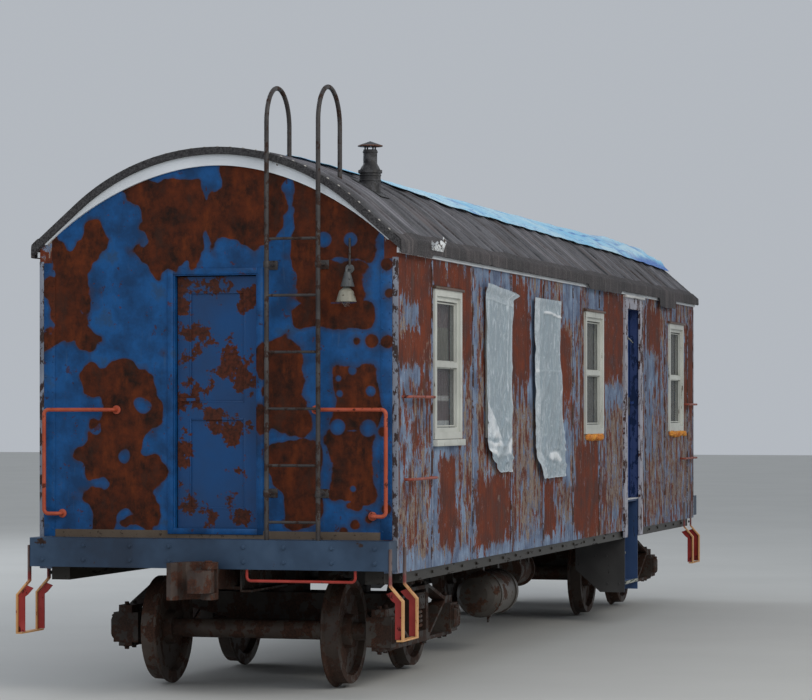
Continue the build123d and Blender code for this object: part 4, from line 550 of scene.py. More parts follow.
@dataclass(frozen=True)
class TarredFelt:
    """Old roofing felt: dark bitumen worn to grey, with runs down the slopes, and a painted highlight and a painted
    shadow along each raised band.
    """

    name: str
    tar: Tone = (48, 48, 52)
    worn: Tone = (104, 105, 111)
    dust: Tone = (138, 136, 140)
    wet: Tone = (26, 25, 27)
    grit: Tone = (150, 148, 148)
    ribbed: bool = True
    brown: Tone = (98, 78, 70)
    # The pale tone of the painted highlight along one side of each raised band.
    crest: Tone = (146, 144, 150)
    shadow: Tone = (12, 11, 13)
    tip: Tone = (30, 28, 30)

    def _bands(self, graph: Graph, runs: Socket, colour: Socket) -> Socket:
        """Brown the slopes, paint a highlight along one side of each raised band and a shadow along the other, and
        darken the roof's two ends.
        """
        brown = graph.blotches(1.1, Wave.ACROSS, detail=6.0, rough=0.66, shift=15.0)
        colour = graph.tint(colour, brown, 0.52, 0.66, 0.55, self.brown)
        steps = graph.calc("DIVIDE", graph.calc("ADD", graph.x, RIB_PITCH * 40), RIB_PITCH)
        dice = graph.dice(steps)
        away = graph.swing(graph.calc("FRACT", steps), RIB_PITCH)
        # The lines on the two sides of each raised band: near takes a painted highlight, far a painted shadow.
        near = graph.ramp(graph.gap(away, -0.052), 0.060, 0.030)
        far = graph.ramp(graph.gap(away, 0.048), 0.042, 0.028)
        pale = graph.calc("MULTIPLY", graph.ramp(runs, 0.40, 0.56, 0.1, 0.8), graph.ramp(dice, 0.9, 0.1))
        dark = graph.ramp(dice, 0.0, 0.6, 0.55, 1.0)
        # Painted highlight along one side of each band, broken up by the runs and from band to band.
        colour = graph.blend(graph.calc("MULTIPLY", near, pale), colour, self.crest)
        # Painted shadow along the other side of each band.
        colour = graph.blend(graph.calc("MULTIPLY", far, dark), colour, self.shadow)
        reach = graph.calc("ABSOLUTE", graph.x)
        return graph.tint(colour, reach, HALF_LENGTH - 0.10, HALF_LENGTH - 0.02, 0.85, self.tip)

    def build(self) -> Material:
        """Weather the felt and return the material."""
        graph = Graph(self.name)
        broad = graph.blotches(2.2, detail=7.0, rough=0.66)
        runs = graph.blotches(1.6, Wave.ACROSS, detail=7.0, rough=0.68, shift=3.0, swirl=0.5)
        grit = graph.blotches(95.0, detail=2.0, shift=1.0)
        colour = graph.blend(graph.ramp(broad, 0.36, 0.66), self.tar, self.worn)
        colour = graph.tint(colour, runs, 0.54, 0.66, 0.65, self.dust)
        colour = graph.tint(colour, runs, 0.45, 0.37, 0.75, self.wet)
        if self.ribbed:
            colour = self._bands(graph, runs, colour)
        colour = graph.tint(colour, grit, 0.34, 0.70, 0.26, self.grit)
        height = graph.weigh(graph.blotches(2.6, Wave.ACROSS, detail=4.0, rough=0.55, shift=7.0), (grit, 0.06))
        return graph.close(colour, graph.ramp(broad, 0.3, 0.7, 0.74, 0.93), graph.relief(height, 0.014, 0.5),
                           Specular_IOR_Level=0.25)


@dataclass(frozen=True)
class DustyGlass:
    """Window glass with rain-marked dust."""

    name: str
    tint: Tone = (112, 114, 108)
    clean: Tone = (64, 74, 82)

    def build(self) -> Material:
        """Dust the glass and return the material."""
        graph = Graph(self.name)
        dust = graph.blotches(7.0, Wave.TALL, detail=5.0)
        spots = graph.blotches(40.0, detail=2.0, shift=3.0)
        colour = graph.tint(self.clean, dust, 0.4, 0.65, 0.6, self.tint)
        graph.feed(graph.shader.inputs["Alpha"], graph.ramp(graph.weigh(dust, (spots, 0.3)), 0.50, 0.85, 0.10, 0.34))
        return graph.close(colour, graph.ramp(dust, 0.35, 0.7, 0.08, 0.40), Specular_IOR_Level=0.28)


@dataclass(frozen=True)
class PlasticFilm:
    """Milky polythene, whiter where it is creased and where the sheet's fold value says, which holds painted
    highlights along some folds.
    """

    name: str
    milk: Tone = (180, 197, 207)
    white: Tone = (236, 240, 243)

    def build(self) -> Material:
        """Cloud the film and return the material."""
        graph = Graph(self.name)
        crease = graph.blotches(5.0, Wave.FLAKED, detail=7.0, rough=0.72, swirl=1.8)
        crumple = graph.blotches(12.0, detail=6.0, rough=0.72, shift=4.0, swirl=2.0)
        # The sheet's fold value whitens the film, and holds painted highlights along some folds.
        torn = graph.swing(crumple, 1.0, graph.painted("fold"))
        white = graph.calc("MAXIMUM", graph.ramp(crease, 0.50, 0.70, 0.0, 0.6), graph.ramp(torn, 0.20, 0.90))
        colour = graph.blend(white, self.milk, self.white)
        graph.feed(graph.shader.inputs["Alpha"], graph.ramp(white, 0.0, 0.8, 0.56, 0.97))
        height = graph.calc("ADD", crease, crumple)
        return graph.close(colour, 0.30, graph.relief(height, 0.010, 0.6), Specular_IOR_Level=0.5,
                           Coat_Weight=0.15, Coat_Roughness=0.2)


@dataclass(frozen=True)
class WovenSheet:
    """A woven cloth with its threads, creases and paler patches, painted shade and highlights on its folds, and a
    painted glint on its threads.

    Threads are counted per metre. The band, where there is one, lies between two heights.
    """

    name: str
    cloth: Tone
    faded_and_highlight: Tone
    shadow: Tone
    threads: float = 420.0
    sheen: float = 0.2
    shine: float = 0.35
    crease: float = 0.006
    bands: tuple[tuple[float, float, Tone], ...] = ()
    folded: bool = False
    glint: Tone = (255, 255, 255)

    def build(self) -> Material:
        """Weave the cloth and return the material."""
        graph = Graph(self.name)
        across, along, _ = graph.split(graph.tree.nodes.new("ShaderNodeUVMap").outputs[0])
        warp, weft = [graph.calc("SINE", graph.calc("MULTIPLY", way, self.threads)) for way in (across, along)]
        weave = graph.calc("MULTIPLY", warp, weft)
        cloud = graph.blotches(1.6, detail=5.0)
        folds = graph.blotches(3.0, detail=6.0, shift=3.0, swirl=1.2)
        colour = graph.blend(graph.ramp(cloud, 0.35, 0.68), self.cloth, self.faded_and_highlight)
        # Painted shadow in the hollows of the creases.
        colour = graph.tint(colour, folds, 0.46, 0.34, 0.7, self.shadow)
        if self.folded:
            # Painted shade in the valleys of the folds, and a painted highlight on their crests in the pale tone.
            fold = graph.painted("fold")
            colour = graph.tint(colour, fold, 0.5, 0.0, 0.9, self.shadow)
            colour = graph.tint(colour, fold, 0.5, 1.0, 0.9, self.faded_and_highlight)
        for low, high, tone in self.bands:
            half = (high - low) / 2
            inside = graph.ramp(graph.gap(graph.z, (low + high) / 2), half + 0.006, half - 0.006)
            colour = graph.blend(inside, colour, tone)
        # A painted glint on the threads.
        colour = graph.tint(colour, weave, -1.0, 1.0, 0.10, self.glint)
        height = graph.weigh(folds, (weave, 0.05))
        return graph.close(colour, 1.0 - self.shine, graph.relief(height, self.crease, 0.7),
                           Sheen_Weight=self.sheen, Specular_IOR_Level=0.3)


@dataclass(frozen=True)
class SprayFoam:
    """Cured gap-filling foam, orange where the sun has browned it."""

    name: str
    crust: Tone = (176, 92, 30)
    inner: Tone = (232, 160, 62)
    cells: Tone = (250, 214, 140)

    def build(self) -> Material:
        """Brown the foam and return the material."""
        graph = Graph(self.name)
        lumps = graph.blotches(30.0, detail=5.0, rough=0.7)
        cells = graph.blotches(160.0, detail=2.0, shift=4.0)
        colour = graph.blend(graph.ramp(lumps, 0.38, 0.62), self.crust, self.inner)
        colour = graph.tint(colour, cells, 0.60, 0.70, 0.5, self.cells)
        height = graph.weigh(lumps, (cells, 0.4))
        return graph.close(colour, 0.8, graph.relief(height, 0.006, 0.8), Subsurface_Weight=0.1)


class Bench:
    """The modelling bench: pieces start from primitives, are shaped in edit mode, copied and joined."""

    @staticmethod
    def hold(*pieces: Piece) -> None:
        """Select only these pieces and make the first one active."""
        bpy.ops.object.select_all(action="DESELECT")
        for piece in pieces:
            piece.select_set(True)
        bpy.context.view_layer.objects.active = pieces[0]

    @staticmethod
    def shape(piece: Piece, *steps: Callable[[], object]) -> Piece:
        """Run mesh operators in edit mode on what is selected of a piece."""
        Bench.hold(piece)
        bpy.ops.object.mode_set(mode="EDIT")
        for step in steps:
            step()
        bpy.ops.object.mode_set(mode="OBJECT")
        return piece

    @staticmethod
    def edit(piece: Piece, *steps: Callable[[], object]) -> Piece:
        """Run mesh operators in edit mode on the whole of a piece."""
        return Bench.shape(piece, lambda: bpy.ops.mesh.select_all(action="SELECT"), *steps)

    @staticmethod
    def add(primitive: Callable[..., object], name: str, **settings: object) -> Piece:
        """Add a primitive with nothing else selected, and put its place into its mesh."""
        bpy.ops.object.select_all(action="DESELECT")
        primitive(**settings)
        piece = bpy.context.object
        piece.name = piece.data.name = name
        Bench.hold(piece)
        bpy.ops.object.transform_apply(location=True, rotation=True, scale=True)
        return piece

    @staticmethod
    def block(name: str, size: Point, centre: Point, bevel: float = 0.003, segments: int = 2) -> Piece:
        """A block with rounded edges: its lengths, its middle, and the width and faces of the rounding."""
        piece = Bench.add(bpy.ops.mesh.primitive_cube_add, name, size=1.0, location=centre, scale=size)
        return Bench.edit(piece, lambda: bpy.ops.mesh.bevel(offset=bevel, segments=segments, affect="EDGES"))

    @staticmethod
    def drum(name: str, radius: float, depth: float, centre: Point, axis: Point = (0, 0, 1), sides: int = 20,
             bevel: float = 0.002, top: float = 1.0) -> Piece:
        """A turned disc or bar with rounded rims, narrowed at its far end by top.

        Args:
            name: The piece's name.
            radius: Radius at the near end.
            depth: Length along the axis.
            centre: Middle of the piece.
            axis: Direction from the near end to the far end.
            sides: Faces round it.
            bevel: Width of the rounding of its rims.
            top: Share of the radius at the far end.

        Returns:
            The turned piece.
        """
        turn = Vector((0, 0, 1)).rotation_difference(Vector(axis)).to_euler()
        piece = Bench.add(bpy.ops.mesh.primitive_cone_add, name, vertices=sides, radius1=radius, radius2=radius * top,
                          depth=depth, location=centre, rotation=turn)
        way = Vector(axis).normalized()
        Bench.pick(piece, lambda face: abs(face.normal.dot(way)) > 0.99)
        return Bench.shape(piece, bpy.ops.mesh.region_to_loop,
                           lambda: bpy.ops.mesh.bevel(offset=bevel, segments=2, affect="EDGES"))

    @staticmethod
    def pick(piece: Piece, wanted: Callable[[bpy.types.MeshPolygon], bool]) -> None:
        """Leave only the wanted faces selected for edit mode."""
        Bench.shape(piece, lambda: bpy.ops.mesh.select_mode(type="FACE"),
                    lambda: bpy.ops.mesh.select_all(action="DESELECT"))
        for face in piece.data.polygons:
            face.select = wanted(face)

    @staticmethod
    def join(name: str, pieces: Sequence[Piece]) -> Piece:
        """Join pieces into one of this name."""
        Bench.hold(*pieces)
        if len(pieces) > 1:
            bpy.ops.object.join()
        pieces[0].name = pieces[0].data.name = name
        return pieces[0]

    @staticmethod
    def copies(name: str, model: Piece, places: Iterable[Matrix]) -> Piece:
        """Copy a model to places, each copy with its own mesh, and join the copies."""
        made = []
        for place in places:
            copy = model.copy()
            copy.data = model.data.copy()
            copy.data.transform(place)
            bpy.context.scene.collection.objects.link(copy)
            made.append(copy)
        bpy.data.objects.remove(model)
        return Bench.join(name, made)

    @staticmethod
    def facing(place: Point, axis: Point = (0, 0, 1)) -> Matrix:
        """The matrix that puts a model made along +Z at a place, along an axis."""
        turn = Vector((0, 0, 1)).rotation_difference(Vector(axis)).to_matrix().to_4x4()
        return Matrix.Translation(place) @ turn

    @staticmethod
    def bolt(radius: float, height: float) -> Piece:
        """A hexagon bolt head on its washer, made at the origin along +Z."""
        washer = Bench.drum("washer", radius * 1.45, height * 0.25, (0, 0, height * 0.12), sides=12,
                            bevel=height * 0.06)
        head = Bench.drum("head", radius, height, (0, 0, height * 0.6), sides=6, bevel=radius * 0.14)
        return Bench.join("bolt", [washer, head])

    @staticmethod
    def rivet(radius: float) -> Piece:
        """A low domed rivet head, made at the origin along +Z."""
        piece = Bench.add(bpy.ops.mesh.primitive_uv_sphere_add, "rivet", segments=8, ring_count=6, radius=radius,
                          scale=(1, 1, 0.6))
        return Bench.edit(piece, lambda: bpy.ops.mesh.bisect(plane_co=(0, 0, -radius * 0.1), plane_no=(0, 0, 1),
                                                             use_fill=True, clear_inner=True))

    @staticmethod
    def tube(name: str, points: Sequence[Point], radius: float, smooth: bool = False) -> Piece:
        """A round bar through points, made from a curve, as one smooth line if smooth is set."""
        curve = bpy.data.curves.new(name, "CURVE")
        curve.dimensions = "3D"
        curve.bevel_depth, curve.bevel_resolution, curve.use_fill_caps = radius, 3, True
        line = curve.splines.new("NURBS" if smooth else "POLY")
        line.points.add(len(points) - 1)
        for knot, point in zip(line.points, points):
            knot.co = (*point, 1.0)
        if smooth:
            line.order_u, line.use_endpoint_u = 3, True
        piece = bpy.data.objects.new(name, curve)
        bpy.context.scene.collection.objects.link(piece)
        Bench.hold(piece)
        bpy.ops.object.convert(target="MESH")
        return bpy.context.object

    @staticmethod
    def modify(piece: Piece, kind: str, **settings: object) -> Piece:
        """Add a modifier with its settings and apply it."""
        Bench.hold(piece)
        modifier = piece.modifiers.new(kind.title(), kind)
        for name, value in settings.items():
            setattr(modifier, name, value)
        bpy.ops.object.modifier_apply(modifier=modifier.name)
        return piece

    @staticmethod
    def thicken(sheet: Piece, thickness: float) -> float:
        """Give a sheet its thickness, half to each side, and return the area that it had without it."""
        area = sum(face.area for face in sheet.data.polygons)
        Bench.modify(sheet, "SOLIDIFY", thickness=thickness, offset=0.0)
        return area

    @staticmethod
    def cloth(name: str, across: int, along: int, size: Pair, place: Callable[[float, float], Point],
              fold: Callable[[float, float], float] | None = None) -> Piece:
        """A sheet laid by moving the vertices of a grid.

        Args:
            name: The piece's name.
            across: Squares across the sheet.
            along: Squares along it.
            size: Flat width and length, for the threads of its weave.
            place: Gives each point's place from its shares of the width and the length.
            fold: Gives each point's fold from the same shares, 0 in a valley and 1 on a crest.

        Returns:
            The sheet, without thickness.
        """
        piece = Bench.add(bpy.ops.mesh.primitive_grid_add, name, x_subdivisions=across, y_subdivisions=along, size=1.0)
        flat = [(v.co.x + 0.5, v.co.y + 0.5) for v in piece.data.vertices]
        for loop, spot in zip(piece.data.loops, piece.data.uv_layers[0].data):
            u, v = flat[loop.vertex_index]
            spot.uv = (u * size[0], v * size[1])
        for vertex, (u, v) in zip(piece.data.vertices, flat):
            vertex.co = place(u, v)
        if fold is not None:
            values = piece.data.attributes.new("fold", "FLOAT", "POINT")
            for item, (u, v) in zip(values.data, flat):
                item.value = fold(u, v)
        return piece

    @staticmethod
    def frame_of(name: str, face: Face, middle: Point, size: Pair, bar: Point) -> Piece:
        """Four bars round an upright opening of a side or end: its middle and size, bars' width, depth, bevel."""
        width, depth, bevel = bar
        parts = []
        for sign in (-1, 1):
            for flat, offset in (((width, size[1] + width), (sign * size[0] / 2, 0.0)),
                                 ((size[0] - width, width), (0.0, sign * size[1] / 2))):
                if isinstance(face, Side):
                    box, moved = (flat[0], depth, flat[1]), (offset[0], 0.0, offset[1])
                else:
                    box, moved = (depth, *flat), (0.0, *offset)
                parts.append(Bench.block("bar", box, tuple(m + d for m, d in zip(middle, moved)), bevel))
        return Bench.join(name, parts)


class Slots(Enum):
    """The record's material slots, passed along with the new pieces."""

    SHEATHING = "sheathing_wood"
    SHEET = "end_sheet"
    ROOF = "roof_covering"
    TRIM = "trim_wood"
    WINDOW = "window_paint"
    PLASTIC = "plastic_sheet"
    TARP = "tarp_cloth"
    DOOR = "door_paint"
    STAIR = "stair_paint"
    GRAB = "grab_iron_paint"
    STEP = "step_paint"
    LADDER = "ladder_steel"
    LAMP = "lamp_metal"
    JACK = "jack_metal"
    HINGE = "hinge_steel"
    SILL = "sill_steel"
    END_SILL = "end_sill_paint"
    TANK = "tank_steel"
    GEAR = "cast_running_gear"
    BOGIE = "bogie_steel"
    SPRING = "spring_steel"
    COUPLER = "coupler_iron"


@dataclass
class Palette:
    """The finishes, built once each and kept by name."""

    made: dict[str, Material] = field(default_factory=dict)

    def get(self, finish: Finish) -> Material:
        """The material of a finish, built the first time."""
        if finish.name not in self.made:
            self.made[finish.name] = finish.build()
        return self.made[finish.name]


PALETTE = Palette()

SHEATHING = PeelingBoards("peeling_sheathing")
END_A = RustedSheet("rusted_sheet_a", End.A)
END_B = RustedSheet("rusted_sheet_b", End.B)
ROOF_FELT = TarredFelt("tarred_felt")
EAVE_FELT = TarredFelt("eave_felt", (30, 27, 29), (70, 64, 66), (104, 96, 94), ribbed=False)
BATTEN = WornPaint("batten_paint", (116, 132, 160), (92, 60, 48), 0.50, Wave.FLAKED, 7.0, dirt=0.25)
STRIP = WornPaint("corner_strip_paint", (124, 130, 144), (72, 56, 54), 0.54, Wave.FLAKED, 7.0, dirt=0.3)
TRIM = WornPaint("weathered_trim", (216, 216, 214), (96, 84, 78), 0.70, Wave.ALONG, 3.0, dirt=0.3)
TORN = WornPaint("torn_white", (226, 230, 232), (112, 100, 92), 0.74, Wave.EVEN, 16.0, dirt=0.2)
FASCIA = WornPaint("fascia_white", (224, 228, 232), (120, 108, 98), 0.92, Wave.EVEN, 5.0, dirt=0.15)
WINDOW = WornPaint("window_white", (206, 208, 200), (122, 112, 98), 0.86, Wave.TALL, 4.0, dirt=0.25)
CASING = WornPaint("door_casing", (164, 164, 176), (86, 58, 52), 0.60, Wave.FLAKED, 8.0, dirt=0.25,
                   splits=((Axis.Y, 1.4475, 1.4465, (22, 56, 112)),))
LEAF = WornPaint("door_leaf_paint", (16, 58, 124), (12, 34, 76), 1.0, Wave.TALL, 3.0, (18, 30, 54), 0.3, fade=0.02)
BROWN_WOOD = WornPaint("bare_brown_wood", (88, 60, 46), (142, 132, 118), 0.66, Wave.ALONG, 5.0)
# The dark grey second coat, below X 2.357 on the stair's near cheek, is painted shade on that face.
STAIR = WornPaint("stair_blue", (20, 62, 110), (50, 42, 40), 0.84, Wave.TALL, 3.0, dirt=0.3,
                  splits=((Axis.X, 2.3572, 2.3558, (44, 45, 48)),))
NOSING = WornPaint("tread_nosing", (160, 162, 152), (62, 72, 44), 0.6, Wave.ALONG, 6.0)
RAIL_RED = WornPaint("handrail_red", (176, 70, 36), (112, 48, 30), 0.74, Wave.EVEN, 12.0, dirt=0.2)
GRAB_RED = WornPaint("grab_iron_red", (150, 62, 38), (84, 38, 28), 0.68, Wave.EVEN, 14.0, dirt=0.3)
STEP_EDGE = WornPaint("stirrup_edge", (214, 158, 98), (176, 66, 34), 0.78, Wave.FLAKED, 9.0, dirt=0.25,
                      splits=((Axis.Z, 0.85, 0.89, (118, 26, 24)), (Axis.Z, 0.93, 0.96, (96, 74, 70))))
STEP_RED = WornPaint("stirrup_red", (158, 26, 22), (96, 26, 20), 0.78, Wave.FLAKED, 8.0, dirt=0.35)
LEVER_RED = WornPaint("lever_red", (172, 42, 28), (92, 36, 26), 0.8, Wave.EVEN, 10.0)
LADDER = WornPaint("ladder_iron", (50, 46, 47), (66, 46, 38), 0.6, Wave.EVEN, 12.0)
LAMP = WornPaint("lamp_enamel", (146, 143, 128), (88, 66, 52), 0.74, Wave.EVEN, 14.0,
                 splits=((Axis.Z, 3.10, 3.13, (84, 88, 90)),))
JACK = WornPaint("jack_sheet", (40, 40, 43), (104, 104, 106), 0.60, Wave.EVEN, 17.0, (26, 25, 27), 0.5)
CAP = WornPaint("jack_cap", (112, 72, 58), (132, 92, 74), 0.5, Wave.EVEN, 14.0)
SILL = WornPaint("sill_olive", (34, 31, 25), (31, 24, 19), 0.74, Wave.ALONG, 2.5, dirt=0.5, fade=0.03)
END_SILL = WornPaint("end_sill_blue", (20, 60, 92), (62, 41, 32), 0.80, Wave.EVEN, 4.0, dirt=0.55)
END_LEAF = WornPaint("end_door_blue", (16, 70, 122), (92, 42, 24), 0.6, Wave.EVEN, 4.0, fade=0.0)
FRAME = WornPaint("underframe_black", (38, 34, 32), (64, 42, 32), 0.58, Wave.EVEN, 4.0, dirt=0.5)
TANK = WornPaint("tank_paint", (56, 50, 46), (78, 50, 36), 0.62, Wave.EVEN, 5.0, dirt=0.5)
GEAR = WornPaint("running_gear", (47, 38, 33), (72, 45, 32), 0.5, Wave.EVEN, 8.0, dirt=0.5, gloss=0.4)
BOGIE = WornPaint("bogie_rust", (42, 34, 31), (68, 42, 30), 0.48, Wave.EVEN, 7.0, dirt=0.5, gloss=0.4)
SPRING = WornPaint("spring_rust", (64, 48, 40), (92, 56, 38), 0.5, Wave.EVEN, 16.0, dirt=0.5, gloss=0.5)
WHEEL = WornPaint("wheel_iron", (60, 46, 38), (80, 51, 37), 0.5, Wave.EVEN, 6.0, dirt=0.5, gloss=0.45)
COUPLER = WornPaint("coupler_iron", (60, 43, 36), (86, 50, 34), 0.5, Wave.EVEN, 9.0, dirt=0.5, gloss=0.4)
NAIL = WornPaint("nail_heads", (176, 172, 166), (120, 96, 84), 0.8, Wave.EVEN, 30.0, dirt=0.1)
STEEL = WornPaint("dull_steel", (112, 108, 102), (86, 58, 44), 0.7, Wave.EVEN, 20.0, gloss=0.6, metallic=0.4)
BOARDS = WornPaint("floor_boards", (98, 82, 66), (80, 66, 54), 0.75, Wave.ALONG, 3.0)
FOAM = SprayFoam("cured_foam")
BULB = DustyGlass("bulb_glass", (226, 222, 206))
FILM = PlasticFilm("milky_film")
# The tarpaulin's pale tone also serves as the painted highlight on its folds' crests, and its shadow tone as the
# painted shade in their valleys.
TARPAULIN = WovenSheet("blue_tarpaulin", (120, 210, 255), (204, 240, 255), (24, 104, 200), 1200.0, 0.1, 0.45, 0.012,
                       folded=True)
BLIND = WovenSheet("olive_blind", (68, 63, 49), (82, 77, 62), (50, 46, 36), 900.0, 0.1, 0.2, 0.004)
CURTAIN = WovenSheet("two_tone_curtain", (64, 34, 36), (88, 58, 58), (40, 24, 28), 900.0, 0.2, 0.15, 0.006,
                     bands=((2.545, 2.86, (96, 92, 76)), (2.27, 2.31, (168, 166, 164)), (2.03, 2.11, (190, 196, 196))))

NODE_FINISH: dict[str, Finish] = {
    "frame_steel": FRAME, "sill_steel": SILL, "end_sill_paint": END_SILL, "floor_wood": BOARDS,
    "sheathing_wood": SHEATHING, "roof_covering": ROOF_FELT, "trim_wood": FASCIA, "window_paint": WINDOW,
    "window_glass": DustyGlass("dusty_glass"), "plastic_sheet": FILM, "tarp_cloth": TARPAULIN, "door_trim": CASING,
    "door_paint": LEAF, "end_door_paint": END_LEAF, "stair_paint": STAIR, "hinge_steel": STEEL,
    "grab_iron_paint": GRAB_RED, "ladder_steel": LADDER, "lamp_metal": LAMP, "jack_metal": JACK,
    "step_paint": STEP_EDGE, "tank_steel": TANK, "cast_running_gear": GEAR, "bogie_steel": BOGIE,
    "spring_steel": SPRING, "wheel_steel": WHEEL, "coupler_iron": COUPLER,
    "end_wall_a": END_A, "end_wall_b": END_B, "end_handrails": RAIL_RED, "uncoupling_levers": LEVER_RED,
}


def dress_nodes() -> None:
    """Give every CAD node its finish, by its own name or else by its slot in the record."""
    for part in frame["record"]["subparts"]:
        node = frame["nodes"][part["node"]]
        finish = NODE_FINISH.get(part["node"], NODE_FINISH.get(part["material_slot"]))
        material = PALETTE.get(finish)
        if not node.material_slots:
            node.data.materials.append(material)
        for slot in node.material_slots:
            slot.material = material


def place(piece: Piece, body: str, slot: Slots, finish: Finish, smooth: float = 40.0) -> Piece:
    """Finish a new piece: its material, its shading and its body.

    Args:
        piece: The piece, in place.
        body: The CAD body that it rides on.
        slot: The record's slot for it; not used.
        finish: Its finish.
        smooth: Edges flatter than this many degrees are shaded smooth.

    Returns:
        The same piece.
    """
    piece.data.materials.clear()
    piece.data.materials.append(PALETTE.get(finish))
    Bench.hold(piece)
    bpy.ops.object.shade_smooth_by_angle(angle=math.radians(smooth))
    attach(piece, body)
    LOG.info("%s on %s: %d faces", piece.name, body, len(piece.data.polygons))
    return piece


def fit(name: str, parts: Sequence[Piece], slot: Slots, finish: Finish, body: str = "car") -> None:
    """Join parts and finish them as one piece."""
    place(Bench.join(name, parts), body, slot, finish)


def stud(name: str, model: Piece, spots: Iterable[Matrix], slot: Slots, finish: Finish,
         body: str = "car") -> None:
    """Copy a nail, rivet or bolt to its places and finish the copies as one piece."""
    place(Bench.copies(name, model, spots), body, slot, finish)


def arch(y: float, rise: float = 0.0) -> float:
    """Height of the roof at a place across the car, on a surface that lies rise outside the boards' underside."""
    radius = ROOF_RADIUS + rise
    sine = ROOF_REACH / ROOF_RADIUS
    reach, slope = radius * sine, sine / math.sqrt(1 - sine**2)
    height = CROWN - ROOF_RADIUS + math.sqrt(radius**2 - min(abs(y), reach)**2)
    return height - max(0.0, abs(y) - reach) * slope


def smooth_step(value: float, start: float, stop: float) -> float:
    """0 before start, 1 after stop, and a soft rise between."""
    share = min(1.0, max(0.0, (value - start) / (stop - start)))
    return share * share * (3 - 2 * share)


def ridge(away: float, reach: float, soft: float) -> float:
    """1 near a line and 0 from reach on, given how far away it is, with a soft fall between."""
    return smooth_step(reach - abs(away), 0.0, soft)


def wobble(x: float, y: float, z: float) -> float:
    """A smooth noise at a place, about -1 to 1."""
    return noise.noise(Vector((x, y, z)))


def crumple(place: Point, fineness: float) -> float:
    """Sharp-crested folds, 0 to 1, from noise at a place."""
    return max(0.0, 1.0 - abs(noise.noise(Vector(place) * fineness)) * 2.6) ** 2


